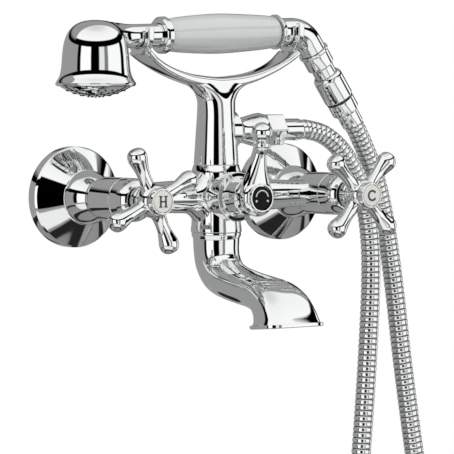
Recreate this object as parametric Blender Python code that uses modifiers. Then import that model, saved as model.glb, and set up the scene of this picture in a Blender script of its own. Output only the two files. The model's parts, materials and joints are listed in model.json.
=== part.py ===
"""Wall mounted bath mixer with cross handles, a lever diverter, a fixed bath spout, a cradle and a hand shower.

The origin is on the wall, midway between the two inlets. +X is to the right, +Z is up, and the mixer stands
out from the wall along -Y. All the sizes below are in millimetres.
"""

import math

import bmesh
import bpy
from mathutils import Matrix, Vector

MM = 0.001
GAP = 0.3  # clearance between pieces that touch
TURN = 2 * math.pi

INLET_X = 90  # half of the 180 mm between the inlets
AXIS_D = 48  # distance from the wall to the arms, the column and the spout's socket

FLANGE_R = 34.8
FLANGE_RIM = 8
FLANGE_D = 20.2
COLLAR_R = 19
VALVE_R = 14.9
VALVE_FACE_D = 66.8
BONNET_D = 83
HANDLE_D = 98  # distance from the wall to the middle of the handle's arms
HANDLE_REACH = 38.2
HANDLE_TURN = {"hot": 24, "cold": 46}  # how far each cross is turned from upright, in degrees

BODY_TOP_Z = 21.6
BODY_FOOT_Z = -25.2
LEVER_D = 94
LEVER_NECK_Z = 34
BALL_Z = 44.4
BALL_R = 6.8

OUTLET_Z = 45.4  # the hose outlet on the column
CRADLE_X = 64.5  # the two hooks of the cradle
HEAD_X = -101.8
GRIP_Z = 112.6  # the hand shower's axis where it crosses the column
GRIP_TILT = 1.7  # degrees, its tail higher than its head
NECK_R = 8.1
ELBOW_R = 9.6
ELBOW_START = 66
ELBOW_BEND = 18.8
ELBOW_DROP = 54.6  # degrees below level at the elbow's end
ELBOW_TAIL = 6.6

HOSE_R = 6.9
HOSE_START_X = 72.8
HOSE_STEP = 30  # spacing of the hose's points

# The hose's route, as points (x, distance from the wall, z): out of the tap outlet, down, round and up again.
HOSE_ROUTE = (
    (92, 49.4, 42.4),
    (103.4, 50.6, 35.6),
    (113.4, 51.6, 25.6),
    (122, 52, 13),
    (128.8, 52, -2),
    (133.6, 52, -20),
    (136.2, 52, -42),
    (136.4, 52, -68),
    (134.8, 52, -100),
    (132, 52, -140),
    (128.6, 51.4, -185),
    (124.4, 50, -240),
    (119.6, 48.6, -300),
    (115.6, 47, -365),
    (113, 45.6, -425),
    (117, 45, -475),
    (140, 44.4, -511),
    (173, 44, -522),
    (206, 43.6, -511),
    (229, 43.2, -476),
    (231, 43, -430),
    (220, 43.2, -365),
    (206.4, 43.8, -300),
    (193.6, 44.4, -240),
    (182.6, 45, -185),
    (172.4, 45, -125),
    (165.8, 45, -80),
    (160, 45, -45),
    (154.4, 45, -18),
    (147.6, 45.6, 4),
    (138.6, 46.6, 24),
)
HOSE_SPLIT = 0.73  # share of the hose below the place where its upper strand begins

# sides of the round pieces
BIG = 24
MEDIUM = 18
SMALL = 14
HIDDEN = 10

# finish: base colour, roughness, metallic
FINISHES = {
    "chrome": ((0.72, 0.73, 0.73), 0.06, 1.0),
    "porcelain": ((0.86, 0.87, 0.85), 0.12, 0.0),
    "ivory": ((0.78, 0.77, 0.72), 0.3, 0.0),
    "black_plastic": ((0.02, 0.02, 0.02), 0.3, 0.0),
    "brass": ((0.72, 0.52, 0.22), 0.3, 1.0),
    "rubber": ((0.03, 0.03, 0.03), 0.7, 0.0),
    "steel": ((0.55, 0.55, 0.55), 0.3, 1.0),
    "fibre": ((0.45, 0.1, 0.08), 0.7, 0.0),
}

ALONG_X = (0, math.pi / 2, 0)
OUT_FROM_WALL = (math.pi / 2, 0, 0)
UPRIGHT = (0, 0, 0)


def clear_scene():
    for obj in list(bpy.data.objects):
        bpy.data.objects.remove(obj)


def new_collection(name):
    collection = bpy.data.collections.new(name)
    bpy.context.scene.collection.children.link(collection)
    return collection


def finished(obj, finish):
    """Puts a sub-part in the mixer's collection with a material of its own."""
    colour, roughness, metallic = FINISHES[finish]
    material = bpy.data.materials.new(obj.name + "_" + finish)
    material.use_nodes = True
    shader = material.node_tree.nodes["Principled BSDF"]
    shader.inputs["Base Color"].default_value = (*colour, 1)
    shader.inputs["Roughness"].default_value = roughness
    shader.inputs["Metallic"].default_value = metallic
    obj.data.materials.clear()
    obj.data.materials.append(material)
    if obj.name not in PARTS.objects:
        PARTS.objects.link(obj)
    return obj


def helper(obj):
    """Keeps a cutter or a shape to be joined out of the object itself."""
    HELPERS.objects.link(obj)
    obj.hide_render = True
    obj.display_type = "WIRE"
    return obj


def boolean(obj, other, operation):
    modifier = obj.modifiers.new(operation.lower(), "BOOLEAN")
    modifier.operation = operation
    modifier.solver = "EXACT"
    modifier.object = helper(other)


def join(obj, *others):
    for other in others:
        boolean(obj, other, "UNION")


def cut(obj, *others):
    for other in others:
        boolean(obj, other, "DIFFERENCE")


def place(obj, at, turned_to=UPRIGHT, parent=None):
    """Sets a piece at (x, distance from the wall, z), or at a parent's own x, y and z."""
    x, d, z = at
    obj.location = (x * MM, (d if parent else -d) * MM, z * MM)
    obj.rotation_euler = turned_to
    obj.parent = parent
    return obj


def arc(r, h, radius, start, end, count):
    """Points (r, h) of an arc round a centre, with its angles in degrees from +r towards +h."""
    angles = [math.radians(start + (end - start) * i / count) for i in range(count + 1)]
    return [(r + radius * math.cos(a), h + radius * math.sin(a)) for a in angles]


def turned(name, profile, steps=MEDIUM, ring=False, phase=0.0):
    """A turned solid. The profile is (radius, height), its outer side from top to bottom."""
    c, s = math.cos(phase) * MM, math.sin(phase) * MM
    points = [(r * c, r * s, h * MM) for r, h in profile]
    edges = [(i, i + 1) for i in range(len(points) - 1)]
    if ring:
        edges.append((len(points) - 1, 0))
    mesh = bpy.data.meshes.new(name)
    mesh.from_pydata(points, edges, [])
    obj = bpy.data.objects.new(name, mesh)
    screw = obj.modifiers.new("turn", "SCREW")
    screw.steps = steps
    screw.render_steps = steps
    screw.use_merge_vertices = True
    screw.merge_threshold = 0.00001
    return obj


def bore(name, radius, low, high, steps=HIDDEN):
    """A drill, turned a little so that no edge of it lines up with an edge of the piece it cuts."""
    return turned(name, [(0, high), (radius, high), (radius, low), (0, low)], steps, phase=0.11)


def tube(name, radius, hole, low, high, steps=HIDDEN):
    return turned(name, [(radius, high), (radius, low), (hole, low), (hole, high)], steps, ring=True)


def mesh_object(name, shape):
    bmesh.ops.recalc_face_normals(shape, faces=shape.faces)
    mesh = bpy.data.meshes.new(name)
    shape.to_mesh(mesh)
    shape.free()
    return bpy.data.objects.new(name, mesh)


def loft(name, rings):
    """A closed skin over rings of points that have the same count."""
    shape = bmesh.new()
    made = [[shape.verts.new(Vector(point) * MM) for point in ring] for ring in rings]
    for near, far in zip(made, made[1:]):
        for i in range(len(near)):
            j = (i + 1) % len(near)
            shape.faces.new((near[i], near[j], far[j], far[i]))
    shape.faces.new(made[0])
    shape.faces.new(made[-1])
    return mesh_object(name, shape)


def oval(middle, across, up, width, height, count, power=2.0):
    """A ring of points that is an ellipse at power 2 and squarer above that."""
    ring = []
    for k in range(count):
        a = TURN * (k + 0.5) / count
        c = math.copysign(abs(math.cos(a)) ** (2 / power), math.cos(a))
        s = math.copysign(abs(math.sin(a)) ** (2 / power), math.sin(a))
        ring.append(middle + across * width * c + up * height * s)
    return ring


def swept(name, stations, across, count=12, power=2.0):
    """A bar along stations (point, half width across, half thickness), with an oval or squarer section."""
    across = Vector(across)
    points = [Vector(station[0]) for station in stations]
    rings = []
    for i, (point, (_, width, thickness)) in enumerate(zip(points, stations)):
        ahead = points[min(i + 1, len(points) - 1)] - points[max(i - 1, 0)]
        normal = ahead.normalized().cross(across)
        rings.append(oval(point, across, normal, width, thickness, count, power))
    return loft(name, rings)


def smooth_route(points, step):
    """Points about a step apart on a smooth curve through the route's points."""
    points = [Vector(point) for point in points]
    points = [2 * points[0] - points[1], *points, 2 * points[-1] - points[-2]]
    fine = []
    for before, start, end, after in zip(points, points[1:], points[2:], points[3:]):
        for i in range(24):
            t = i / 24
            fine.append(
                0.5
                * (
                    2 * start
                    + (end - before) * t
                    + (2 * before - 5 * start + 4 * end - after) * t * t
                    + (3 * start - before - 3 * end + after) * t**3
                )
            )
    fine.append(points[-2])
    lengths = [0]
    for a, b in zip(fine, fine[1:]):
        lengths.append(lengths[-1] + (b - a).length)
    count = max(2, round(lengths[-1] / step))
    route = []
    k = 0
    for i in range(count + 1):
        wanted = lengths[-1] * i / count
        while k < len(lengths) - 2 and lengths[k + 1] < wanted:
            k += 1
        share = (wanted - lengths[k]) / (lengths[k + 1] - lengths[k])
        route.append(fine[k].lerp(fine[k + 1], share))
    return route


def hose_tube(name, points):
    curve = bpy.data.curves.new(name, "CURVE")
    curve.dimensions = "3D"
    curve.bevel_depth = HOSE_R * MM
    curve.bevel_resolution = 2
    curve.use_fill_caps = True
    spline = curve.splines.new("POLY")
    spline.points.add(len(points) - 1)
    for point, (x, d, z) in zip(spline.points, points):
        point.co = (x * MM, -d * MM, z * MM, 1)
    return bpy.data.objects.new(name, curve)


# ---- the inlets on the wall -------------------------------------------------------------------


def wall_flange(side, x):
    outer = [(18.8, FLANGE_D), (26.5, 14.2), (34, FLANGE_RIM + 0.6), (FLANGE_R, FLANGE_RIM - 1), (FLANGE_R, GAP)]
    inner = [(33.2, GAP), (33.2, FLANGE_RIM - 1), (17.2, FLANGE_D - 2), (14.4, FLANGE_D - 2), (14.4, FLANGE_D)]
    flange = turned("wall_flange_" + side, outer + inner, BIG, ring=True)
    finished(place(flange, (x, 0, 0), OUT_FROM_WALL), "chrome")


def wall_union(side, x):
    """The threaded tail in the wall fitting, its hexagon under the flange and the union's thread."""
    outer = [(12.6, 24), (12.6, 13), (13.6, 13), (13.6, 6), (10.4, 6), (10.4, -15)]
    union = turned("wall_union_" + side, outer + [(7, -15), (7, 24)], HIDDEN, ring=True)
    finished(place(union, (x, 0, 0), OUT_FROM_WALL), "brass")


def union_nut(side, x):
    low = FLANGE_D + GAP
    outer = [(12.4, 36), (15.2, 32), (17.3, 28.2), (18.7, 24.4), (COLLAR_R, 21.8), (18.4, low)]
    inner = [(13, low), (13, 30.4), (11.2, 30.4), (11.2, 36)]
    nut = turned("union_nut_" + side, outer + inner, MEDIUM, ring=True)
    finished(place(nut, (x, 0, 0), OUT_FROM_WALL), "chrome")


def union_washer(side, x):
    washer = tube("union_washer_" + side, 12.4, 7.4, 24.3, 26.2)
    finished(place(washer, (x, 0, 0), OUT_FROM_WALL), "fibre")


# ---- the body ---------------------------------------------------------------------------------


def body_arms():
    half = [(9.4, 84), (9.4, 72), (10.6, 56), (11.5, 30)]
    return turned("arms", [(0, 84), *half, *[(r, -h) for r, h in reversed(half)], (0, -84)], MEDIUM)


def valve_barrel(side):
    neck = [(12.4, 38), (10.4, 37), (10.4, 30), (12.4, 30), (12.4, 26.6), (0, 26.6)]
    face = [(0, VALVE_FACE_D), (VALVE_R - 0.9, VALVE_FACE_D), (VALVE_R, VALVE_FACE_D - 0.7)]
    return turned("barrel_" + side, face + [(VALVE_R, 42.5), (14.2, 40.4)] + neck, MEDIUM)


def mixer_body():
    shoulder = [(15.9, BODY_TOP_Z), (17.4, 16.8), (17.4, -12)]
    foot = [(17.2, -19), (17.6, BODY_FOOT_Z + 1), (17.6, BODY_FOOT_Z)]
    middle = turned("middle", [(0, BODY_TOP_Z), *shoulder, *foot, (0, BODY_FOOT_Z)], MEDIUM, phase=0.05)
    boss = turned("boss", [(0, 68), (15.6, 68), (16.4, 67.2), (16.4, 50), (0, 50)], MEDIUM, phase=0.03)
    body = place(body_arms(), (0, AXIS_D, 0), ALONG_X)
    body.name = "mixer_body"
    join(body, place(middle, (0, AXIS_D, 0)), place(boss, (0, 0, 0), OUT_FROM_WALL))
    for side, x in SIDES:
        join(body, place(valve_barrel(side), (x, 0, 0), OUT_FROM_WALL))
    cut(body, place(bore("waterway", 6.5, -86, 86), (0, AXIS_D, 0), ALONG_X))
    cut(body, place(bore("column_bore", 10.5, -7, 30), (0, AXIS_D, 0)))
    cut(body, place(bore("spout_bore", 9.4, -34, -4), (0, AXIS_D, 0)))
    cut(body, place(bore("diverter_bore", 11.3, 45, 76), (0, 0, 0), OUT_FROM_WALL))
    for side, x in SIDES:
        cut(body, place(bore("headwork_bore_" + side, 10.6, 45, 76), (x, 0, 0), OUT_FROM_WALL))
        cut(body, place(bore("inlet_bore_" + side, 6.9, 20, 51), (x, 0, 0), OUT_FROM_WALL))
    finished(body, "chrome")


# ---- the valves and their cross handles ---------------------------------------------------------


def headwork(side, x):
    seat = [(10.1, 49)]
    outer = [(8, 82), (8, 71), (12.4, 71), (12.4, VALVE_FACE_D + GAP), (10.1, VALVE_FACE_D + GAP)]
    socket = [(0, 49), (0, 62), (4.3, 62), (4.3, 82)]
    body = turned("headwork_" + side, outer + seat + socket, HIDDEN, ring=True)
    finished(place(body, (x, 0, 0), OUT_FROM_WALL), "brass")


def valve_bonnet(side, x):
    low = VALVE_FACE_D + GAP
    outer = [(10, BONNET_D), (11.6, BONNET_D - 0.5), (13.6, 80.2), (14.8, 76), (14.8, low)]
    inner = [(13, low), (13, 75), (8.7, 80.6), (8.7, BONNET_D)]
    cover = turned("valve_bonnet_" + side, outer + inner, MEDIUM, ring=True)
    finished(place(cover, (x, 0, 0), OUT_FROM_WALL), "chrome")


def spindle(side, x):
    profile = [(3.7, 101.2), (3.7, 62.4), (0, 62.4), (0, 90), (1.7, 90), (1.7, 101.2)]
    shaft = turned("spindle_" + side, profile, HIDDEN, ring=True)
    finished(place(shaft, (x, 0, 0), OUT_FROM_WALL), "brass")


def handle_bar(name, angle):
    """One bar of the cross, with its two swollen round ends."""
    half = ((0, 5), (12.5, 4.7), (18.5, 4.6), (25, 5.5), (31, 6.8), (35.4, 5.8), (37.8, 2.8))
    lean = Vector((math.sin(angle), 0, math.cos(angle)))
    profile = [*[(-s, r) for s, r in reversed(half[1:])], *half]
    stations = [(lean * s + Vector((0, -HANDLE_D, 0)), r, r * 0.92) for s, r in profile]
    return swept(name, stations, lean.cross(Vector((0, 1, 0))), 8)


def cross_handle(side, x):
    hub = [(0, 104), (9.6, 104), (11.2, 101), (11.2, 96), (9.5, 90), (9.8, 84.6), (0, 84.6)]
    handle = place(turned("cross_handle_" + side, hub, MEDIUM), (x, 0, 0), OUT_FROM_WALL)
    for k in range(2):
        angle = math.radians(-HANDLE_TURN[side] + 90 * k)
        bar = handle_bar("bar_%s_%d" % (side, k), angle)
        bar.location = (x * MM, 0, 0)
        join(handle, bar)
    drill = [(0, 110), (7.2, 110), (7.2, 101.5), (4, 101.5), (4, 90), (8.6, 90), (8.6, 80), (0, 80)]
    cut(handle, place(turned("handle_bore_" + side, drill, HIDDEN, phase=0.1), (x, 0, 0), OUT_FROM_WALL))
    finished(handle, "chrome")


def handle_screw(side, x):
    profile = [(0, 103.4), (4.6, 103.4), (4.6, 101.8), (1.4, 101.8), (1.4, 92), (0, 92)]
    screw = turned("handle_screw_" + side, profile, HIDDEN)
    finished(place(screw, (x, 0, 0), OUT_FROM_WALL), "steel")


def handle_cap(side, x):
    dome = [(7.9, 109.2), (8.7, 109.1), (9.3, 107.6), (9, 104.3), (6.8, 104.3), (6.8, 102)]
    cap = turned("handle_cap_" + side, dome + [(5.2, 102), (5.2, 105), (0, 105), (0, 107.8), (7.9, 107.8)], MEDIUM, ring=True)
    finished(place(cap, (x, 0, 0), OUT_FROM_WALL), "chrome")


def index_disc(side, x):
    disc = turned("index_disc_" + side, [(0, 109.5), (7.3, 109.4), (7.6, 108.1), (0, 108.1)])
    finished(place(disc, (x, 0, 0), OUT_FROM_WALL), "ivory")


# ---- the diverter -------------------------------------------------------------------------------


def diverter_cartridge():
    outer = [(8, 82), (8, 72), (11.9, 72), (11.9, 68.3), (10.8, 68.3), (10.8, 58)]
    socket = [(0, 58), (0, 64), (4.3, 64), (4.3, 82)]
    cartridge = turned("diverter_cartridge", outer + socket, HIDDEN, ring=True)
    finished(place(cartridge, (0, 0, 0), OUT_FROM_WALL), "brass")


def diverter_bonnet():
    flange = [(14, 74), (17.2, 73), (17.2, 68.3)]
    outer = [(9.2, 86), (11.8, 85.4), (13.2, 82.5), *flange]
    inner = [(12.3, 68.3), (12.3, 78), (9.2, 82.4)]
    cover = turned("diverter_bonnet", outer + inner, BIG, ring=True)
    finished(place(cover, (0, 0, 0), OUT_FROM_WALL), "chrome")


def diverter_spindle():
    profile = [(3.7, 95.6), (3.7, 64.4), (0, 64.4), (0, 88), (1.7, 88), (1.7, 95.6)]
    shaft = turned("diverter_spindle", profile, HIDDEN, ring=True)
    finished(place(shaft, (0, 0, 0), OUT_FROM_WALL), "brass")


def diverter_lever():
    hub = [(0, 100.6), (9.7, 100.6), (9.9, 98.8), (12.4, 97.6), (12.8, 94.4), (12, 91.4), (8.6, 86.4), (0, 86.4)]
    lever = place(turned("diverter_lever", hub, MEDIUM), (0, 0, 0), OUT_FROM_WALL)
    arm = (
        ((0, -94.4, 3), 12.4, 4.3),
        ((0, -94.9, 11), 10.6, 4.2),
        ((0, -95.8, 18), 7.5, 3.8),
        ((0, -97, 26), 4.7, 3.2),
        ((0, -98.3, 31), 3.3, 2.7),
        ((0, -99, LEVER_NECK_Z - 0.4), 2.8, 2.8),
    )
    join(lever, swept("lever_arm", arm, (1, 0, 0), 12))
    drill = [(0, 110), (8.7, 110), (8.7, 95.9), (4, 95.9), (4, 80), (0, 80)]
    cut(lever, place(turned("lever_bore", drill, HIDDEN, phase=0.1), (0, 0, 0), OUT_FROM_WALL))
    finished(lever, "chrome")


def lever_ball():
    ring = [(3.2, LEVER_NECK_Z + 3.7), (5.5, LEVER_NECK_Z + 2.7), (5.5, LEVER_NECK_Z + 1.2)]
    neck = [*ring, (4, LEVER_NECK_Z + GAP), (0, LEVER_NECK_Z + GAP)]
    ball = arc(0, BALL_Z, BALL_R, 90, -64, 8)
    knob = turned("lever_ball", [*ball, *neck], SMALL)
    finished(place(knob, (0, 99.8, 0)), "chrome")


def diverter_screw():
    profile = [(0, 97.8), (4.2, 97.8), (4.2, 96.2), (1.4, 96.2), (1.4, 90), (0, 90)]
    finished(place(turned("diverter_screw", profile, HIDDEN), (0, 0, 0), OUT_FROM_WALL), "steel")


def diverter_index():
    disc = turned("diverter_index", [(0, 100.2), (7.9, 100.1), (8.2, 98.1), (0, 98.1)])
    finished(place(disc, (0, 0, 0), OUT_FROM_WALL), "black_plastic")


# ---- the spout ------------------------------------------------------------------------------------

# Stations down the spout: distance from the wall, z, half width, half thickness.
SPOUT_STATIONS = (
    (48, BODY_FOOT_Z - GAP, 17.2, 17.2),
    (48, -27.6, 17.2, 17.2),
    (48, -29.4, 16.2, 16.2),
    (48.2, -38, 15.8, 15.8),
    (50.4, -46.5, 15.9, 15.4),
    (57, -54.5, 16.3, 14.2),
    (68, -59, 16.8, 12.8),
    (84, -62.2, 17.4, 11.8),
    (100, -64.6, 18.2, 11.4),
    (112.5, -67.6, 19.4, 12),
    (121, -73.4, 21, 13),
    (125.6, -80.6, 22.4, 14),
    (127.4, -87, 24.2, 15.8),
)
SPOUT_WALL = 2.6


def spout_skin(name, inset=0.0, skipped=0, beyond=0.0):
    """The spout's outside, or with an inset the hollow inside it, run on past the mouth."""
    stations = [[Vector((0, -d, z)), wide, thick] for d, z, wide, thick in SPOUT_STATIONS[skipped:]]
    mouth_way = Vector((0, -0.08, -1)).normalized()
    stations[-1][0] += mouth_way * beyond
    last = len(stations) - 1
    rings = []
    for i, (point, wide, thick) in enumerate(stations):
        ahead = (stations[min(i + 1, last)][0] - stations[max(i - 1, 0)][0]).normalized()
        normal = (mouth_way if i == last else ahead).cross(Vector((1, 0, 0)))
        power = 2 + 1.6 * max(0, i + skipped - 6) / 6
        rings.append(oval(point, Vector((1, 0, 0)), normal, wide - inset, thick - inset, 20, power))
    return loft(name, rings)


def spout():
    piece = spout_skin("spout")
    spigot = turned("spout_spigot", [(0, -14), (9, -14), (9, -31), (0, -31)], HIDDEN)
    join(piece, place(spigot, (0, AXIS_D, 0)))
    cut(piece, spout_skin("spout_hollow", SPOUT_WALL, 2, 4), place(bore("spout_way", 6, -40, -4), (0, AXIS_D, 0)))
    finished(piece, "chrome")


def spout_outlet():
    """The flow straightener in the mouth of the spout: a plate with three slots."""
    d, z, wide, thick = SPOUT_STATIONS[-2]
    wide, thick = wide - SPOUT_WALL - 0.8, thick - SPOUT_WALL - 1.4
    levels = [Vector((0, -d - 0.4, z - 1 + level)) for level in (1.2, -1.2)]
    rings = [oval(level, Vector((1, 0, 0)), Vector((0, 1, 0)), wide, thick, 20, 3.3) for level in levels]
    plate = loft("spout_outlet", rings)
    for k in range(3):
        slot = bmesh.new()
        bmesh.ops.create_cube(slot, size=1)
        bmesh.ops.scale(slot, vec=Vector((26, 3, 8)) * MM, verts=slot.verts)
        bmesh.ops.translate(slot, vec=Vector((0, -d + 6 * (k - 1), z - 1)) * MM, verts=slot.verts)
        cut(plate, mesh_object("outlet_slot_%d" % k, slot))
    finished(plate, "black_plastic")


def seals():
    finished(place(tube("column_seal", 9.8, 8.8, 12.6, 15), (0, AXIS_D, 0)), "rubber")
    finished(place(tube("hose_washer_tap", 9.3, 5.6, 50.1, 51), (0, AXIS_D, OUTLET_Z), ALONG_X), "rubber")


# ---- the column and the cradle --------------------------------------------------------------------


def cradle_hook(name, x, z, radius, tip):
    """A fork open to the top, with one prong in front of the hand shower and one behind."""
    middle = radius + 2.2
    across = []
    for k in range(9):
        a = math.radians(180 + 180 * k / 8)
        across.append((middle * math.cos(a), z + middle * math.sin(a)))
    path = [(-middle, tip), (-middle, (tip + z) / 2), *across, (middle, (tip + z) / 2), (middle, tip)]
    stations = [((x, y - AXIS_D, height), 2.5, 2.3) for y, height in path]
    return swept(name, stations, (1, 0, 0), 8, 3)


def cradle_column():
    foot = [(15.6, BODY_TOP_Z + GAP), (9.8, BODY_TOP_Z + GAP), (9.8, 15.3)]
    spigot = [(8.2, 15.3), (8.2, 12.3), (9.8, 12.3), (9.8, 6), (0, 6)]
    trunk = [(0, 79.5), (10.4, 79.5), (12.6, 70), (13.3, 58), (14.1, 46), (15.2, 30)]
    column = turned("cradle_column", [*trunk, *foot, *spigot], MEDIUM)
    place(column, (0, AXIS_D, 0))
    boss = [(0, 39.6), (11.2, 39.6), (11.8, 36), (10.6, 28), (8.4, 20), (8, 6), (0, 6)]
    half = ((0, 78.6, 4), (17, 79.8, 4), (37, 84.7, 3.1), (52, 91, 2.7), (60, 95.8, 2.6), (64, 99, 2.6))
    bow = [*[(-x, z, t) for x, z, t in reversed(half[1:])], *half]
    stations = [((x, -AXIS_D, z), 8, t) for x, z, t in bow]
    join(column, place(turned("outlet_boss", boss, MEDIUM, phase=0.04), (0, AXIS_D, OUTLET_Z), ALONG_X))
    join(column, swept("bow", stations, (0, 1, 0), 10, 2.4))
    slope = math.tan(math.radians(GRIP_TILT))
    left_z = GRIP_Z - CRADLE_X * slope
    right_z = GRIP_Z + CRADLE_X * slope
    join(column, cradle_hook("hook_left", -CRADLE_X, left_z, NECK_R + 0.7, 116))
    join(column, cradle_hook("hook_right", CRADLE_X, right_z, ELBOW_R + 0.7, 120.3))
    cut(column, place(bore("riser_bore", 6.6, -4, 60), (0, AXIS_D, 0)))
    cut(column, place(bore("outlet_bore", 8, 26, 50), (0, AXIS_D, OUTLET_Z), ALONG_X))
    cut(column, place(bore("outlet_way", 5, 0, 50), (0, AXIS_D, OUTLET_Z), ALONG_X))
    finished(column, "chrome")


# ---- the hose and its ends ------------------------------------------------------------------------


def hose_nipple():
    outer = [(9.6, 49.8), (9.6, 40), (7.7, 40), (7.7, 28)]
    nipple = turned("hose_nipple", outer + [(5, 28), (5, 49.8)], HIDDEN, ring=True)
    finished(place(nipple, (0, AXIS_D, OUTLET_Z), ALONG_X), "brass")


def hose_nut():
    flats = [(0, 54.8), (11.2, 54.8), (12.4, 53.4), (12.4, 41.6), (11.2, 40.2), (0, 40.2)]
    nut = place(turned("hose_nut_tap", flats, 6), (0, AXIS_D, OUTLET_Z), ALONG_X)
    drill = turned("nut_bore", [(0, 60), (8.1, 60), (8.1, 53.4), (10, 53.4), (10, 36), (0, 36)], SMALL, phase=0.1)
    cut(nut, place(drill, (0, AXIS_D, OUTLET_Z), ALONG_X))
    finished(nut, "chrome")


def hose_ferrule_tap():
    outer = [(7.3, 72.4), (7.7, 71.8), (7.7, 53), (9.5, 53), (9.5, 51.3)]
    ferrule = turned("hose_ferrule_tap", outer + [(5.6, 51.3), (5.6, 72.4)], SMALL, ring=True)
    finished(place(ferrule, (0, AXIS_D, OUTLET_Z), ALONG_X), "chrome")


def hose(end):
    """The hose in two lengths: the one from the tap and round the loop, and the one up to the hand shower."""
    start = Vector((HOSE_START_X, AXIS_D, OUTLET_Z))
    lead_in = Vector((HOSE_START_X + 6, AXIS_D, OUTLET_Z))
    x, y, z = end.translation / MM
    ahead = end.to_3x3() @ Vector((0, 0, 1))
    finish = Vector((x, -y, z))
    lead_out = finish + Vector((ahead.x, 0, ahead.z)) * 6
    route = smooth_route([lead_in, *HOSE_ROUTE, lead_out], HOSE_STEP)
    split = round(HOSE_SPLIT * (len(route) - 1))
    lower = [start, *route[: split + 1]]
    upper = [route[split].lerp(route[split + 1], GAP / HOSE_STEP), *route[split + 1 :], finish]
    finished(hose_tube("shower_hose_tap", lower), "steel")
    finished(hose_tube("shower_hose_handset", upper), "steel")


# ---- the hand shower ------------------------------------------------------------------------------


def handset_head(axis):
    wall = [(0, 121.2), (6, 120.8), (12, 119), (17, 115), (20.4, 109.5), (22.3, 101)]
    rim = [(24, 83.4), (26.8, 81), (27.3, 79), (26.4, 76.4), (0, 76.4)]
    bell = place(turned("handset_head", wall + rim, BIG), (HEAD_X, AXIS_D, 0))
    inside = [(0, 118.6), (10, 117), (16.6, 111.6), (20.2, 100), (22, 88), (23.4, 84), (23.4, 70), (0, 70)]
    neck = [(0, -49.9), (NECK_R, -49.9), (NECK_R, -72), (9, -78), (11.5, -84), (0, -88)]
    join(bell, place(turned("neck", neck, SMALL), (0, 0, 0), ALONG_X, axis))
    cut(bell, place(turned("bell_hollow", inside, BIG, phase=0.05), (HEAD_X, AXIS_D, 0)))
    cut(bell, place(bore("neck_bore", 6.2, -100, -40), (0, 0, 0), ALONG_X, axis))
    finished(bell, "chrome")


def spray_face():
    """A domed face with a threaded skirt that goes up into the bell."""
    dome = [(24.2 * math.sin(math.radians(a)) / math.sin(math.radians(32)), a) for a in range(32, -1, -8)]
    radius = 24.2 / math.sin(math.radians(32))
    base = 76.1 + radius * math.cos(math.radians(32))
    outer = [(r, base - radius * math.cos(math.radians(a))) for r, a in dome]
    inner = [(0, 71.6), (12, 73), (21.4, 77), (21.4, 82), (23, 82), (23, 76.3)]
    face = turned("spray_face", [*outer, *inner], BIG, ring=True)
    finished(place(face, (HEAD_X, AXIS_D, 0)), "chrome")


def spray_seal():
    finished(place(tube("spray_seal", 22.4, 19.4, 82.4, 83.8, MEDIUM), (HEAD_X, AXIS_D, 0)), "rubber")


def grip_rings(axis):
    front = [(8.4, -43.4), (11.6, -43.4), (12.7, -45.4), (12.7, -47.6), (11.6, -49.6), (8.4, -49.6)]
    ring = turned("grip_ring_front", front, MEDIUM, ring=True)
    finished(place(ring, (0, 0, 0), ALONG_X, axis), "chrome")
    rear = [(10.4, 55.6), (12.3, 52.2), (12.1, 51), (8.4, 51), (8.4, 55.6)]
    ring = turned("grip_ring_rear", rear, MEDIUM, ring=True)
    finished(place(ring, (0, 0, 0), ALONG_X, axis), "chrome")


def grip(axis):
    outer = [(10.9, 50.7), (11.9, 44), (13.2, 22), (13.9, 2), (13.4, -18), (12.2, -36), (10.8, -43.1)]
    sleeve = turned("porcelain_grip", outer + [(8.4, -43.1), (8.4, 50.7)], MEDIUM, ring=True)
    finished(place(sleeve, (0, 0, 0), ALONG_X, axis), "porcelain")


def grip_tube(axis):
    tube_in = turned("grip_tube", [(7.9, 55.3), (7.9, -49.3), (6, -49.3), (6, 55.3)], HIDDEN, ring=True)
    finished(place(tube_in, (0, 0, 0), ALONG_X, axis), "brass")


def elbow_path():
    """Points (x, z) along the elbow in the hand shower's own frame, and the direction in which it ends."""
    drop = math.radians(ELBOW_DROP + GRIP_TILT)
    points = [(55.9, 0)]
    for k in range(7):
        a = drop * k / 6
        points.append((ELBOW_START + ELBOW_BEND * math.sin(a), -ELBOW_BEND * (1 - math.cos(a))))
    x, z = points[-1]
    ahead = (math.cos(drop), -math.sin(drop))
    points.append((x + ELBOW_TAIL * ahead[0], z + ELBOW_TAIL * ahead[1]))
    return points, ahead


def handset_elbow(axis):
    points, ahead = elbow_path()
    last = len(points) - 1
    stations = [((x, 0, z), ELBOW_R, ELBOW_R) for x, z in points]
    elbow = swept("handset_elbow", stations, (0, 1, 0), SMALL)
    elbow.parent = axis
    inside = [((x, 0, z), 6, 6) for x, z in points]
    inside[0] = ((points[0][0] - 3, 0, 0), 6, 6)
    x, z = points[last]
    inside[last] = ((x + 3 * ahead[0], 0, z + 3 * ahead[1]), 6, 6)
    hollow = swept("elbow_hollow", inside, (0, 1, 0), HIDDEN)
    hollow.parent = axis
    cut(elbow, hollow)
    finished(elbow, "chrome")


def tail_empty(axis):
    """A frame at the elbow's end whose z runs down along the connector."""
    points, ahead = elbow_path()
    x, z = points[-1]
    tail = bpy.data.objects.new("handset_tail", None)
    PARTS.objects.link(tail)
    tail.parent = axis
    tail.location = (x * MM, 0, z * MM)
    tail.rotation_euler = (0, math.atan2(ahead[0], ahead[1]), 0)
    return tail


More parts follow.
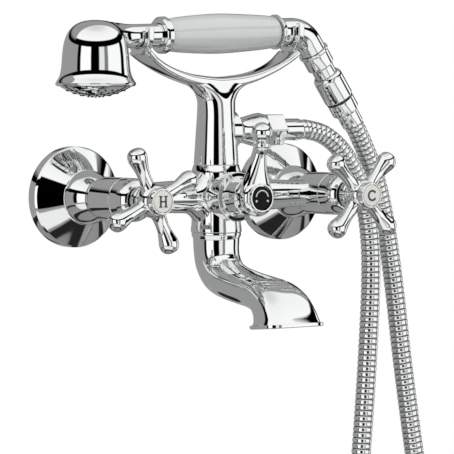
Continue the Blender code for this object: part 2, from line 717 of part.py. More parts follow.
def tail_pieces(tail):
    """Connector, nut and ferrules, one after the other down the tail."""
    step = [(8.1, 24), (8.1, 13.6), (10.1, 12.8), (10.1, 2.6), (10.7, 2), (10.7, 0.8), (9.8, GAP)]
    connector = turned("handset_connector", step + [(6, GAP), (6, 24)], MEDIUM, ring=True)
    finished(place(connector, (0, 0, 0), UPRIGHT, tail), "chrome")
    crown = [(10.7, 41.2), (10.7, 23.6), (10.1, 21.8), (8.9, 21)]
    nut = turned("hose_nut_handset", crown + [(8.5, 21), (8.8, 24.4), (8.8, 41.2)], MEDIUM, ring=True)
    finished(place(nut, (0, 0, 0), UPRIGHT, tail), "chrome")
    finished(place(tube("hose_washer_handset", 8.3, 5.4, 24.4, 26), (0, 0, 0), UPRIGHT, tail), "rubber")
    finished(place(tube("hose_seal_ring", 10.2, 7.6, 41.5, 42.5, MEDIUM), (0, 0, 0), UPRIGHT, tail), "rubber")
    upper = [(9.4, 53), (10.1, 52), (10.1, 42.8), (7.2, 42.8), (7.2, 41.2), (8.3, 41.2), (8.3, 26.4)]
    cone = turned("hose_cone", upper + [(5.8, 26.4), (5.8, 53)], MEDIUM, ring=True)
    finished(place(cone, (0, 0, 0), UPRIGHT, tail), "chrome")
    lower = [(7.5, 64.4), (7.9, 63.8), (7.9, 53.3), (5.8, 53.3), (5.8, 64.4)]
    finished(place(turned("hose_ferrule_handset", lower, SMALL, ring=True), (0, 0, 0), UPRIGHT, tail), "chrome")


def handset():
    axis = bpy.data.objects.new("handset_axis", None)
    PARTS.objects.link(axis)
    axis.location = (0, -AXIS_D * MM, GRIP_Z * MM)
    axis.rotation_euler = (0, -math.radians(GRIP_TILT), 0)
    handset_head(axis)
    spray_face()
    spray_seal()
    grip_rings(axis)
    grip(axis)
    grip_tube(axis)
    handset_elbow(axis)
    tail = tail_empty(axis)
    tail_pieces(tail)
    bpy.context.view_layer.update()
    return tail.matrix_world @ Matrix.Translation((0, 0, 64.7 * MM))


clear_scene()
PARTS = new_collection("wall_bath_mixer")
HELPERS = new_collection("cutters")
SIDES = (("hot", -INLET_X), ("cold", INLET_X))

for side, x in SIDES:
    wall_flange(side, x)
    wall_union(side, x)
    union_nut(side, x)
    union_washer(side, x)
    headwork(side, x)
    valve_bonnet(side, x)
    spindle(side, x)
    cross_handle(side, x)
    handle_screw(side, x)
    handle_cap(side, x)
    index_disc(side, x)

mixer_body()
diverter_cartridge()
diverter_bonnet()
diverter_spindle()
diverter_lever()
lever_ball()
diverter_screw()
diverter_index()
spout()
spout_outlet()
seals()
cradle_column()
hose_nipple()
hose_nut()
hose_ferrule_tap()
hose(handset())
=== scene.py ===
"""Wall bath mixer: the visible pieces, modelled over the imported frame.

An add-on in layout. Each operator below models one piece, or one group of like pieces, and the panel
lists them. Profiles and routes are in millimetres, as (radius, height) or (x, distance from the wall, z).
"""

import bisect
import json
import math

import bmesh
import bpy
from bpy.props import FloatProperty, FloatVectorProperty, IntProperty, PointerProperty
from mathutils import Euler, Matrix, Vector


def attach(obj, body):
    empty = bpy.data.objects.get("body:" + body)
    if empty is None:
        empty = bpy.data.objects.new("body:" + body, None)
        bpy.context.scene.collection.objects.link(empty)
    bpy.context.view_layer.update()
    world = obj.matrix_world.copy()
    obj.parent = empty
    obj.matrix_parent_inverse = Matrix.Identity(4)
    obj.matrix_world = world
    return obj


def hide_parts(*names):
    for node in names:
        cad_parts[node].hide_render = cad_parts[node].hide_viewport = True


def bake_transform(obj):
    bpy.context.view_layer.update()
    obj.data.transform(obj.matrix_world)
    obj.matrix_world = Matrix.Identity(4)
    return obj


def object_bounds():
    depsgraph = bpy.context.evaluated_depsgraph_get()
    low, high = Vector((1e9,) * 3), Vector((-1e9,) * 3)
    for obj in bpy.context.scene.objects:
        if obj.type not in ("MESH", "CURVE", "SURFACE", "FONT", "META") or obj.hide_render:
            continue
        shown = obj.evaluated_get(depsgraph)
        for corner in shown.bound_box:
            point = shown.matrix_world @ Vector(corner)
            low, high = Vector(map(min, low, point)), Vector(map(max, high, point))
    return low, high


bl_info = {
    "name": "Wall Bath Mixer",
    "version": (1, 0, 0),
    "blender": (4, 5, 0),
    "location": "View3D > Sidebar > Bath Mixer",
    "description": "Models a wall mounted bath mixer with a cradle and a hand shower",
    "category": "Add Mesh",
}

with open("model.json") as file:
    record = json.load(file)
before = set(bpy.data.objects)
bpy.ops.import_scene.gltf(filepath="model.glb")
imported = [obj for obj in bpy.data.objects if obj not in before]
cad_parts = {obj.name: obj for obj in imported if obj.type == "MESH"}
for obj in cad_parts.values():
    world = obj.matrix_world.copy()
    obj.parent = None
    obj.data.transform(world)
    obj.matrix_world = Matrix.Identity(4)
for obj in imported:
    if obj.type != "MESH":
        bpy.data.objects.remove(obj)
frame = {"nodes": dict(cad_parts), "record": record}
CAD_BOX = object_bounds()

MM = 0.001
TURN = 2 * math.pi

# From the wall to the line of the body and the column.
AXIS_D = 48
# The hand shower's line: its height over the mixer's middle, its tilt and the x of its head.
GRIP_Z = 112.6
GRIP_TILT = math.radians(1.7)
HEAD_X = -101.8
# The height of the hose outlet's line.
OUTLET_Z = 45.4

# The elbow in the hand shower's own frame: where its bend starts, the bend's radius and angle, the straight end.
ELBOW_START = 66
ELBOW_BEND = 18.8
ELBOW_DROP = math.radians(54.6) + GRIP_TILT
ELBOW_TAIL = 6.6

# The camera, in metres, and its side of the studio as an angle and as a level direction.
CAMERA_PLACE = (-1.32896, -1.81754, 0.08486)
CAMERA_AIM = Vector((0.00036, -0.06, -0.0213))
CAMERA_SIDE = math.radians(37.1)
TOWARDS_CAMERA = (-0.603, -0.797, 0)
# The studio floor's radius and its gap under the hose's loop, in metres.
FLOOR_RADIUS = 1.3
FLOOR_GAP = 0.006

# The lean of the spout's mouth from level, and the station from which its section grows squarer.
MOUTH_LEAN = 0.08
SQUARE_FROM = 26

# The tap's strand of the hose is this share of its rings. The rest runs on to the hand shower.
HOSE_SPLIT = 0.73
# Each strand stops this far short of where the two meet.
STRAND_GAP = 0.15

# The hose's way from the outlet, down, round its loop and up to the elbow: x, distance from the wall, z.
HOSE_ROUTE = (
    (92, 49.4, 42.4),
    (103.4, 50.6, 35.6),
    (113.4, 51.6, 25.6),
    (122, 52, 13),
    (128.8, 52, -2),
    (133.6, 52, -20),
    (136.2, 52, -42),
    (136.4, 52, -68),
    (134.8, 52, -100),
    (132, 52, -140),
    (128.6, 51.4, -185),
    (124.4, 50, -240),
    (119.6, 48.6, -300),
    (115.6, 47, -365),
    (113, 45.6, -425),
    (117, 45, -475),
    (140, 44.4, -511),
    (173, 44, -522),
    (206, 43.6, -511),
    (229, 43.2, -476),
    (231, 43, -430),
    (220, 43.2, -365),
    (206.4, 43.8, -300),
    (193.6, 44.4, -240),
    (182.6, 45, -185),
    (172.4, 45, -125),
    (165.8, 45, -80),
    (160, 45, -45),
    (154.4, 45, -18),
    (147.6, 45.6, 4),
    (138.6, 46.6, 24),
)

# The spout's stations: distance from the wall, z, half width and half thickness.
SPOUT_STATIONS = (
    (48, -25.5, 17.2, 17.2),
    (48, -27.6, 17.2, 17.2),
    (48, -29.4, 16.2, 16.2),
    (48.2, -38, 15.8, 15.8),
    (50.4, -46.5, 15.9, 15.4),
    (57, -54.5, 16.3, 14.2),
    (68, -59, 16.8, 12.8),
    (84, -62.2, 17.4, 11.8),
    (100, -64.6, 18.2, 11.4),
    (112.5, -67.6, 19.4, 12),
    (121, -73.4, 21, 13),
    (125.6, -80.6, 22.4, 14),
    (127.4, -87, 24.2, 15.8),
)


# ---- sizes and colours that a user would change ------------------------------------------------


def length(name, description, millimetres):
    size = millimetres * MM
    return FloatProperty(name=name, description=description, default=size, unit="LENGTH", precision=4)


def linear(code):
    """An sRGB hex colour in linear light."""
    channels = [int(code[i : i + 2], 16) / 255 for i in (1, 3, 5)]
    return [c / 12.92 if c <= 0.04045 else ((c + 0.055) / 1.055) ** 2.4 for c in channels]


def colour(name, description, code):
    shade = linear(code)
    return FloatVectorProperty(name=name, description=description, default=shade, subtype="COLOR", size=3)


class MixerSizes(bpy.types.PropertyGroup):
    inlet: length("Inlet offset", "From the middle of the mixer to an inlet", 90)
    flange: length("Flange radius", "Radius of the wall flanges", 34.8)
    handle: length("Handle reach", "From a cross handle's middle to the tip of an arm", 38.2)
    ball: length("Lever ball radius", "Radius of the ball on the diverter's lever", 7.2)
    hose: length("Hose radius", "Outer radius of the hose's rings", 7)
    ring_pitch: length("Ring pitch", "From one ring of the hose to the next", 4)
    sides: IntProperty(name="Sides", description="Sides of the large turned pieces", default=96, min=24)


class MixerColours(bpy.types.PropertyGroup):
    chrome: colour("Chrome", "Polished chrome plating", "#E9EBEA")
    porcelain: colour("Porcelain", "Glazed grip", "#D3D8D6")
    ivory: colour("Index discs", "Enamel of the hot and cold discs", "#C6C8C0")
    ink: colour("Ink", "Letters on the discs", "#141414")
    black: colour("Black enamel", "Disc on the diverter", "#0B0B0C")
    brass: colour("Brass", "Turned brass", "#C9A05A")
    rubber: colour("Rubber", "Washers, seals and spray nozzles", "#1B1C1D")
    fibre: colour("Fibre", "Union washers", "#7A3026")
    steel: colour("Steel and nickel", "Screws, headworks and spindles", "#A9ABAD")
    floor: colour("Floor", "Studio floor", "#D9D9D6")


# ---- modelling helpers ---------------------------------------------------------------------------


def matrix_at(at, turn=(0, 0, 0)):
    """A placement at (x, distance from the wall, z)."""
    x, d, z = at
    return Matrix.Translation(Vector((x, -d, z)) * MM) @ Euler(turn).to_matrix().to_4x4()


# A profile's heights are distances from the wall with FROM_WALL, and x with OUTLET. HEAD is the upright line of the
# shower head, and HANDSET is the hand shower's own frame, which leans with its grip.
OUT_FROM_WALL = (math.pi / 2, 0, 0)
FROM_WALL = matrix_at((0, 0, 0), OUT_FROM_WALL)
OUTLET = matrix_at((0, AXIS_D, OUTLET_Z), (0, math.pi / 2, 0))
HEAD = matrix_at((HEAD_X, AXIS_D, 0))
HANDSET = matrix_at((0, AXIS_D, GRIP_Z), (0, -GRIP_TILT, 0))


def flow(points, steps=6):
    """A smooth run of points through the given ones."""
    points = [Vector(point) for point in points]
    points = [2 * points[0] - points[1], *points, 2 * points[-1] - points[-2]]
    run = []
    for before, start, end, after in zip(points, points[1:], points[2:], points[3:]):
        square = 2 * before - 5 * start + 4 * end - after
        cube = 3 * start - before - 3 * end + after
        for i in range(steps):
            t = i / steps
            run.append(0.5 * (2 * start + (end - before) * t + square * t * t + cube * t**3))
    run.append(points[-2])
    return [tuple(point) for point in run]


def filleted(profile, ring):
    """Rounds each corner of a profile that has a third number, its radius."""
    rounded = []
    count = len(profile)
    for i, point in enumerate(profile):
        corner = Vector(point[:2])
        if len(point) < 3 or (not ring and i in (0, count - 1)):
            rounded.append(tuple(corner))
            continue
        before = Vector(profile[i - 1][:2]) - corner
        after = Vector(profile[(i + 1) % count][:2]) - corner
        turn = math.pi - before.angle(after)
        cut = min(point[2] * math.tan(turn / 2), 0.48 * before.length, 0.48 * after.length)
        start, end = corner + before.normalized() * cut, corner + after.normalized() * cut
        steps = max(2, round(math.degrees(turn) / 15))
        for k in range(steps + 1):
            t = k / steps
            rounded.append(tuple((1 - t) ** 2 * start + 2 * t * (1 - t) * corner + t * t * end))
    return rounded


def picked(obj):
    """Makes a piece the only one selected."""
    bpy.ops.object.select_all(action="DESELECT")
    obj.select_set(True)
    bpy.context.view_layer.objects.active = obj


def tidied(obj, sharp=35):
    """Closes poles and seams, turns the faces outwards and shades the piece."""
    bpy.ops.mesh.select_all(action="SELECT")
    bpy.ops.mesh.remove_doubles(threshold=0.000002)
    bpy.ops.mesh.normals_make_consistent(inside=False)
    bpy.ops.object.mode_set(mode="OBJECT")
    bpy.ops.object.shade_smooth_by_angle(angle=math.radians(sharp))
    return obj


def circle(name, radius, height, sides):
    bpy.ops.object.select_all(action="DESELECT")
    bpy.ops.mesh.primitive_circle_add(vertices=sides, radius=radius, location=(0, 0, 0))
    obj = bpy.context.object
    obj.name = obj.data.name = name
    bpy.ops.object.mode_set(mode="EDIT")
    bpy.ops.mesh.select_all(action="SELECT")
    bpy.ops.transform.translate(value=(0, 0, height))
    return obj


def turned(name, profile, ring=False, sides=0, place=None):
    """A turned piece: a circle, extruded and scaled from each point of the profile to the next."""
    profile = filleted(profile, ring)
    if ring:
        profile.append(profile[0])
    profile = [(max(r, 0.0005) * MM, h * MM) for r, h in profile]
    obj = circle(name, profile[0][0], profile[0][1], sides or bpy.context.scene.mixer_sizes.sides)
    for (r, h), (next_r, next_h) in zip(profile, profile[1:]):
        bpy.ops.mesh.extrude_edges_move(TRANSFORM_OT_translate={"value": (0, 0, next_h - h)})
        k = next_r / r
        bpy.ops.transform.resize(value=(k, k, 1), center_override=(0, 0, next_h))
    tidied(obj)
    return settled(obj, place) if place else obj


def above(vertex, first):
    """The index of the new vertex that was extruded from this one. New ones are numbered from first."""
    ends = [edge.other_vert(vertex).index for edge in vertex.link_edges]
    return next(end for end in ends if end >= first)


def grown(name, rings, sharp=35):
    """A loft: a circle set to the first ring of points, then extruded to each ring after it, and capped."""
    count = len(rings[0])
    obj = circle(name, MM, 0, count)
    mesh = obj.data
    ring = list(range(count))
    for level, points in enumerate(rings):
        if level:
            bpy.ops.mesh.extrude_edges_move()
        shape = bmesh.from_edit_mesh(mesh)
        shape.verts.ensure_lookup_table()
        if level:
            ring = [above(shape.verts[i], len(shape.verts) - count) for i in ring]
        for i, point in zip(ring, points):
            shape.verts[i].co = Vector(point) * MM
        if level == 0:
            first_ring = list(ring)
        bmesh.update_edit_mesh(mesh)
    bpy.ops.mesh.edge_face_add()
    bpy.ops.mesh.select_all(action="DESELECT")
    shape = bmesh.from_edit_mesh(mesh)
    shape.verts.ensure_lookup_table()
    for i in first_ring:
        shape.verts[i].select = True
    shape.select_flush(True)
    bmesh.update_edit_mesh(mesh)
    bpy.ops.mesh.edge_face_add()
    return tidied(obj, sharp)


def oval(middle, across, up, width, height, count, power=2.0):
    """A ring of points that is an ellipse at power 2 and squarer above that."""
    ring = []
    for k in range(count):
        a = TURN * (k + 0.5) / count
        c = math.copysign(abs(math.cos(a)) ** (2 / power), math.cos(a))
        s = math.copysign(abs(math.sin(a)) ** (2 / power), math.sin(a))
        ring.append(middle + across * width * c + up * height * s)
    return ring


def swept(name, stations, across, count=32, power=2.0, sharp=35):
    """A bar along stations (x, y, z, half width across, half thickness)."""
    across = Vector(across)
    points = [Vector(station[:3]) for station in stations]
    rings = []
    for i, (point, station) in enumerate(zip(points, stations)):
        ahead = points[min(i + 1, len(points) - 1)] - points[max(i - 1, 0)]
        normal = ahead.normalized().cross(across)
        rings.append(oval(point, across, normal, station[3], station[4], count, power))
    return grown(name, rings, sharp)


def settled(obj, place):
    """Moves a piece to its place and applies it, so that the object stays at the origin."""
    picked(obj)
    obj.matrix_world = place
    bpy.ops.object.transform_apply(location=True, rotation=True, scale=True)
    return obj


def joined(name, first, *others):
    bpy.ops.object.select_all(action="DESELECT")
    for obj in (first, *others):
        obj.select_set(True)
    bpy.context.view_layer.objects.active = first
    bpy.ops.object.join()
    first.name = first.data.name = name
    return first


def copied(obj, name, place):
    """A copy with a mesh of its own."""
    twin = obj.copy()
    twin.data = obj.data.copy()
    twin.name = twin.data.name = name
    bpy.context.scene.collection.objects.link(twin)
    return settled(twin, place)


def done(obj, material, body, slot, *nodes):
    """Gives a finished piece its material and its body, and hides the frame's nodes that it stands for. The slot is
    not used.
    """
    obj.data.materials.clear()
    obj.data.materials.append(material)
    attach(obj, body)
    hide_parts(*nodes)
    return obj


# ---- materials -----------------------------------------------------------------------------------


def node(tree, kind, inputs=None, **settings):
    """Adds a node with its settings, values and links."""
    made = tree.nodes.new(kind)
    for key, value in settings.items():
        setattr(made, key, value)
    for key, value in (inputs or {}).items():
        if isinstance(value, bpy.types.NodeSocket):
            tree.links.new(value, made.inputs[key])
        else:
            made.inputs[key].default_value = value
    return made


def new_material(name, base, roughness, metallic=0.0):
    material = bpy.data.materials.get(name)
    if material:
        return material, None, None
    material = bpy.data.materials.new(name)
    material.use_nodes = True
    tree = material.node_tree
    shader = tree.nodes["Principled BSDF"]
    shader.inputs["Base Color"].default_value = (*base, 1)
    shader.inputs["Roughness"].default_value = roughness
    shader.inputs["Metallic"].default_value = metallic
    return material, tree, shader


def mottle(tree, scale, detail=3.0):
    """Noise over the piece's own coordinates. The scale is in cycles per metre."""
    where = node(tree, "ShaderNodeTexCoord")
    return node(tree, "ShaderNodeTexNoise", {"Vector": where.outputs["Object"], "Scale": scale, "Detail": detail})


def polished_chrome():
    """Cast brass, hand polished and chrome plated: mirror bright, with a slow wave left by the polishing."""
    material, tree, shader = new_material("polished_chrome_plate", bpy.context.scene.mixer_colours.chrome, 0.03, 1.0)
    if not tree:
        return material
    wave = mottle(tree, 70, 2)
    film = mottle(tree, 420, 4)
    bump = node(tree, "ShaderNodeBump", {"Height": wave.outputs["Fac"], "Strength": 0.05, "Distance": 0.0003})
    tree.links.new(bump.outputs["Normal"], shader.inputs["Normal"])
    gloss = node(tree, "ShaderNodeMapRange", {"Value": film.outputs["Fac"], "To Min": 0.012, "To Max": 0.035})
    tree.links.new(gloss.outputs["Result"], shader.inputs["Roughness"])
    return material


def wound_strip():
    """Chromed steel strip wound into a hose, a little duller than polished chrome: bright rings, with shade painted
    near black into the grooves between them.
    """
    material, tree, shader = new_material("wound_chrome_strip", bpy.context.scene.mixer_colours.chrome, 0.1, 1.0)
    if not tree:
        return material
    seam = node(tree, "ShaderNodeAttribute", attribute_name="seam")
    film = mottle(tree, 300, 4)
    # Near black at the grooves: painted shade in the crevices between the rings.
    colours = {6: (*bpy.context.scene.mixer_colours.chrome, 1), 7: (0.02, 0.02, 0.02, 1)}
    tint = node(tree, "ShaderNodeMix", {"Factor": seam.outputs["Fac"], **colours}, data_type="RGBA")
    gloss = node(tree, "ShaderNodeMapRange", {"Value": film.outputs["Fac"], "To Min": 0.05, "To Max": 0.16})
    tree.links.new(tint.outputs[2], shader.inputs["Base Color"])
    tree.links.new(gloss.outputs["Result"], shader.inputs["Roughness"])
    return material


def glazed_porcelain():
    """Slip-cast porcelain under a clear glaze: even off-white, a wet gloss, and a faint ripple in the glaze."""
    material, tree, shader = new_material("glazed_porcelain", bpy.context.scene.mixer_colours.porcelain, 0.22)
    if not tree:
        return material
    shader.inputs["IOR"].default_value = 1.5
    shader.inputs["Coat Weight"].default_value = 0.8
    shader.inputs["Coat Roughness"].default_value = 0.05
    cloud = mottle(tree, 45, 3)
    ripple = mottle(tree, 110, 1)
    light = (*bpy.context.scene.mixer_colours.porcelain, 1)
    dark = (*[c * 0.93 for c in light[:3]], 1)
    tint = node(tree, "ShaderNodeMix", {"Factor": cloud.outputs["Fac"], 6: light, 7: dark}, data_type="RGBA")
    bump = node(tree, "ShaderNodeBump", {"Height": ripple.outputs["Fac"], "Strength": 0.08, "Distance": 0.0004})
    tree.links.new(tint.outputs[2], shader.inputs["Base Color"])
    tree.links.new(bump.outputs["Normal"], shader.inputs["Coat Normal"])
    return material


def plain(name, key, roughness, metallic, scale, spread, depth=0.1):
    """A finish whose colour and gloss vary with one grain. The scale is in cycles per metre."""
    base = getattr(bpy.context.scene.mixer_colours, key)
    material, tree, shader = new_material(name, base, roughness, metallic)
    if not tree:
        return material
    grain = mottle(tree, scale, 5)
    dark = (*[c * (1 - spread) for c in base], 1)
    light = (*[min(1, c * (1 + spread)) for c in base], 1)
    tint = node(tree, "ShaderNodeMix", {"Factor": grain.outputs["Fac"], 6: dark, 7: light}, data_type="RGBA")
    bump = node(tree, "ShaderNodeBump", {"Height": grain.outputs["Fac"], "Strength": depth, "Distance": 0.0002})
    tree.links.new(tint.outputs[2], shader.inputs["Base Color"])
    low, high = roughness * 0.7, roughness * 1.3
    gloss = node(tree, "ShaderNodeMapRange", {"Value": grain.outputs["Fac"], "To Min": low, "To Max": high})
    tree.links.new(gloss.outputs["Result"], shader.inputs["Roughness"])
    tree.links.new(bump.outputs["Normal"], shader.inputs["Normal"])
    return material


def turned_brass():
    """Machined brass: yellow, with the fine lines of the lathe across it."""
    material, tree, shader = new_material("turned_brass", bpy.context.scene.mixer_colours.brass, 0.25, 1.0)
    if not tree:
        return material
    where = node(tree, "ShaderNodeTexCoord")
    # Tool marks 0.6 mm apart, coarser than the real 0.1 mm so that they show.
    lines = node(
        tree,
        "ShaderNodeTexWave",
        {"Vector": where.outputs["Object"], "Scale": 260, "Distortion": 1.5, "Detail": 2},
        bands_direction="Y",
    )
    bump = node(tree, "ShaderNodeBump", {"Height": lines.outputs["Fac"], "Strength": 0.15, "Distance": 0.0001})
    tree.links.new(bump.outputs["Normal"], shader.inputs["Normal"])
    gloss = node(tree, "ShaderNodeMapRange", {"Value": lines.outputs["Fac"], "To Min": 0.2, "To Max": 0.38})
    tree.links.new(gloss.outputs["Result"], shader.inputs["Roughness"])
    return material


def moulded_rubber():
    """EPDM seals and silicone nozzles: near black, with a dull even skin."""
    return plain("moulded_rubber", "rubber", 0.65, 0.0, 900, 0.2)


def vulcanised_fibre():
    """Pressed red fibre washers: matt, with short mottled strands."""
    return plain("vulcanised_fibre", "fibre", 0.8, 0.0, 700, 0.25, 0.3)


def stainless_steel():
    """Headed stainless screws: grey, with a slightly dull skin."""
    return plain("stainless_steel", "steel", 0.3, 1.0, 600, 0.08)


def nickel_plate():
    """Nickel plate over the brass of headworks, spindles, nipple and grip tube: grey, duller than the chrome."""
    return plain("nickel_plate", "steel", 0.24, 1.0, 500, 0.05)


def black_enamel():
    """Fired enamel on the diverter's disc: deep black and glossy."""
    material = plain("black_enamel", "black", 0.12, 0.0, 250, 0.2, 0.03)
    material.node_tree.nodes["Principled BSDF"].inputs["Specular IOR Level"].default_value = 0.1
    return material


def black_plastic():
    """Moulded acetal of the flow straightener: black, with a fine spark texture."""
    return plain("moulded_acetal", "black", 0.45, 0.0, 1200, 0.3)


def ivory_enamel():
    """Pale enamel of the hot and cold discs: grey-white and glossy."""
    return plain("ivory_enamel", "ivory", 0.2, 0.0, 180, 0.04, 0.03)


def letter_ink():
    """Baked ink of the letters: black and slightly raised."""
    return plain("letter_ink", "ink", 0.35, 0.0, 900, 0.15)


def white_ink():
    """Baked white ink of the marks on the black disc."""
    return plain("white_ink", "porcelain", 0.35, 0.0, 900, 0.03)


# ---- operators: one for each piece or group of like pieces ----------------------------------------


def sides():
    inlet = bpy.context.scene.mixer_sizes.inlet / MM
    return (("hot", -inlet), ("cold", inlet))


def on_both_sides(obj, body, slot, node_name, material):
    """Puts a piece that was made on the mixer's middle on both inlets."""
    for side, x in sides():
        name = obj.name + "_" + side
        nodes = [node_name + "_" + side]
        done(copied(obj, name, matrix_at((x, 0, 0))), material, body or side + "_handle", slot, *nodes)
    bpy.data.objects.remove(obj)


class MIXER_OT_stage(bpy.types.Operator):
    """Camera, floor, surroundings and lights"""

    bl_idname = "mixer.stage"
    bl_label = "Stage"

    def execute(self, context):
        camera = bpy.data.objects.new("camera", bpy.data.cameras.new("camera"))
        context.scene.collection.objects.link(camera)
        camera.data.lens = 252.35
        camera.data.sensor_width = 36
        camera.data.clip_end = 50
        camera.location = CAMERA_PLACE
        camera.rotation_euler = (CAMERA_AIM - camera.location).to_track_quat("-Z", "Y").to_euler()
        context.scene.camera = camera
        context.scene.view_settings.view_transform = "Standard"
        self.floor(context)
        self.surroundings(context)
        self.light(context, "key", (-1.5, -1.6, 1.9), 1.4, 26)
        self.light(context, "fill", (1.9, -1.4, 0.9), 1.6, 10)
        return {"FINISHED"}

    def floor(self, context):
        bpy.ops.object.select_all(action="DESELECT")
        below = (0, 0, CAD_BOX[0].z - FLOOR_GAP)
        bpy.ops.mesh.primitive_circle_add(vertices=96, radius=FLOOR_RADIUS, fill_type="NGON", location=below)
        floor = context.object
        floor.name = floor.data.name = "studio_floor"
        material = plain("painted_floor", "floor", 0.6, 0.0, 12, 0.03, 0.02)
        floor.data.materials.append(material)
        floor.visible_glossy = False

    def light(self, context, name, place, size, power):
        lamp = bpy.data.lights.new(name, "AREA")
        lamp.size = size
        lamp.energy = power
        obj = bpy.data.objects.new(name, lamp)
        context.scene.collection.objects.link(obj)
        obj.location = place
        obj.rotation_euler = (Vector((0, -0.06, 0)) - obj.location).to_track_quat("-Z", "Y").to_euler()
        obj.visible_glossy = False

    def surroundings(self, context):
        """A white studio: tall soft panels with black gaps between them, a pale ceiling and a grey floor."""
        world = bpy.data.worlds.new("studio")
        context.scene.world = world
        world.use_nodes = True
        tree = world.node_tree
        tree.nodes.clear()
        way = node(tree, "ShaderNodeTexCoord").outputs["Generated"]
        split = node(tree, "ShaderNodeSeparateXYZ", {0: way})
        outward = node(tree, "ShaderNodeMath", {0: split.outputs["Y"], 1: -1}, operation="MULTIPLY")
        around = node(tree, "ShaderNodeMath", {0: split.outputs["X"], 1: outward.outputs[0]}, operation="ARCTAN2")
        aside = node(tree, "ShaderNodeMath", {0: around.outputs[0], 1: CAMERA_SIDE}, operation="ADD")
        wrapped = node(tree, "ShaderNodeMath", {0: aside.outputs[0], 1: math.pi, 2: -math.pi}, operation="WRAP")
        whole_turn = {"From Min": -math.pi, "From Max": math.pi}
        share = node(tree, "ShaderNodeMapRange", {"Value": wrapped.outputs[0], **whole_turn})
        height = node(tree, "ShaderNodeMapRange", {"Value": split.outputs["Z"], "From Min": -1, "From Max": 1})
        ramps = []
        for value, stops in ((share, PANELS), (height, LEVELS), (height, MIDDLE), (height, LOW_PANEL)):
            ramps.append(node(tree, "ShaderNodeValToRGB", {"Fac": value.outputs["Result"]}))
            set_stops(ramps[-1].color_ramp.elements, stops)
        panels, levels, middle, low = [ramp.outputs["Color"] for ramp in ramps]
        rear = node(tree, "ShaderNodeVectorMath", {0: way, 1: (0.25, 0.97, 0)}, operation="DOT_PRODUCT")
        rear = node(tree, "ShaderNodeMapRange", {"Value": rear.outputs["Value"], "From Min": 0.2, "From Max": 0.26})
        high = node(tree, "ShaderNodeMapRange", {"Value": split.outputs["Z"], "From Min": 0.4, "From Max": 0.5})
        front = node(tree, "ShaderNodeVectorMath", {0: way, 1: TOWARDS_CAMERA}, operation="DOT_PRODUCT")
        front = node(tree, "ShaderNodeMapRange", {"Value": front.outputs["Value"], "From Min": 0.42, "From Max": 0.5})
        both = {0: rear.outputs["Result"], 1: high.outputs["Result"]}
        rear_wall = node(tree, "ShaderNodeMath", both, operation="MULTIPLY").outputs[0]
        both = {0: front.outputs["Result"], 1: low}
        low_panel = node(tree, "ShaderNodeMath", both, operation="MULTIPLY").outputs[0]
        # What the chrome mirrors: light by height, with the rear wall, the low panel and the tall panels over it.
        light = levels
        for cover, layer in ((rear_wall, (0.36, 0.36, 0.36, 1)), (low_panel, (1, 1, 1, 1)), (middle, panels)):
            light = node(tree, "ShaderNodeMix", {"Factor": cover, 6: light, 7: layer}, data_type="RGBA").outputs[2]
        # The camera sees white, and dull surfaces are lit by an even grey.
        path = node(tree, "ShaderNodeLightPath").outputs
        colours = {6: (0.62, 0.62, 0.62, 1), 7: (1, 1, 1, 1)}
        even = node(tree, "ShaderNodeMix", {"Factor": path["Is Camera Ray"], **colours}, data_type="RGBA")
        colours = {6: even.outputs[2], 7: light}
        seen = node(tree, "ShaderNodeMix", {"Factor": path["Is Glossy Ray"], **colours}, data_type="RGBA")
        shown = node(tree, "ShaderNodeBackground", {"Color": seen.outputs[2], "Strength": 1.0})
        tree.links.new(shown.outputs[0], node(tree, "ShaderNodeOutputWorld").inputs["Surface"])


def set_stops(elements, stops):
    """Gives the elements of a colour ramp their places and grey levels."""
    elements[0].position, elements[1].position = stops[0][0], stops[-1][0]
    elements[0].color, elements[1].color = (*[stops[0][1]] * 3, 1), (*[stops[-1][1]] * 3, 1)
    for place, light in stops[1:-1]:
        elements.new(place).color = (light, light, light, 1)


def stepped(steps, low, high, soft):
    """Stops of a ramp that holds each light level up to its end, with soft edges."""
    stops = [(0, steps[0][1])]
    for (end, light), (_, following) in zip(steps, steps[1:]):
        share = (end - low) / (high - low)
        stops += [(share - soft, light), (share + soft, following)]
    return [*stops, (1, steps[-1][1])]


# Light round the studio, by degrees to the right of the camera as the mixer sees it.
PANELS = stepped(
    (
        (-63, 0.36),
        (-50, 0.0),
        (-14, 1.25),
        (15, 0.0),
        (33, 0.95),
        (46, 0.25),
        (98, 1.15),
        (114, 0.0),
        (141, 1.1),
        (180, 0.0),
    ),
    -180,
    180,
    0.004,
)
# Light by height: the share is 0 straight down, 0.5 at the horizon and 1 straight up.
LEVELS = (
    (0, 0.3),
    (0.05, 0.28),
    (0.055, 0.02),
    (0.09, 0.02),
    (0.1, 0.34),
    (0.24, 0.3),
    (0.25, 0.02),
    (0.285, 0.02),
    (0.295, 0.4),
    (0.34, 0.34),
    (0.66, 0.0),
    (0.745, 0.0),
    (0.76, 1.15),
    (0.93, 1.05),
    (1, 0.8),
)
# Where the low front panel shows.
LOW_PANEL = ((0, 0), (0.11, 0), (0.12, 1), (0.285, 1), (0.3, 0), (1, 0))
# Where the tall panels show: between these heights.
MIDDLE = ((0, 0), (0.335, 0), (0.345, 1), (0.65, 1), (0.66, 0), (1, 0))


class Route:
    """A smooth curve through the route's points, read by the distance along it."""

    def __init__(self, points):
        self.points = [Vector(point) for point in flow(points, 24)]
        self.marks = [0]
        for a, b in zip(self.points, self.points[1:]):
            self.marks.append(self.marks[-1] + (b - a).length)

    def at(self, distance):
        k = max(1, min(bisect.bisect_left(self.marks, distance), len(self.marks) - 1))
        share = (distance - self.marks[k - 1]) / (self.marks[k] - self.marks[k - 1])
        return self.points[k - 1].lerp(self.points[k], share)


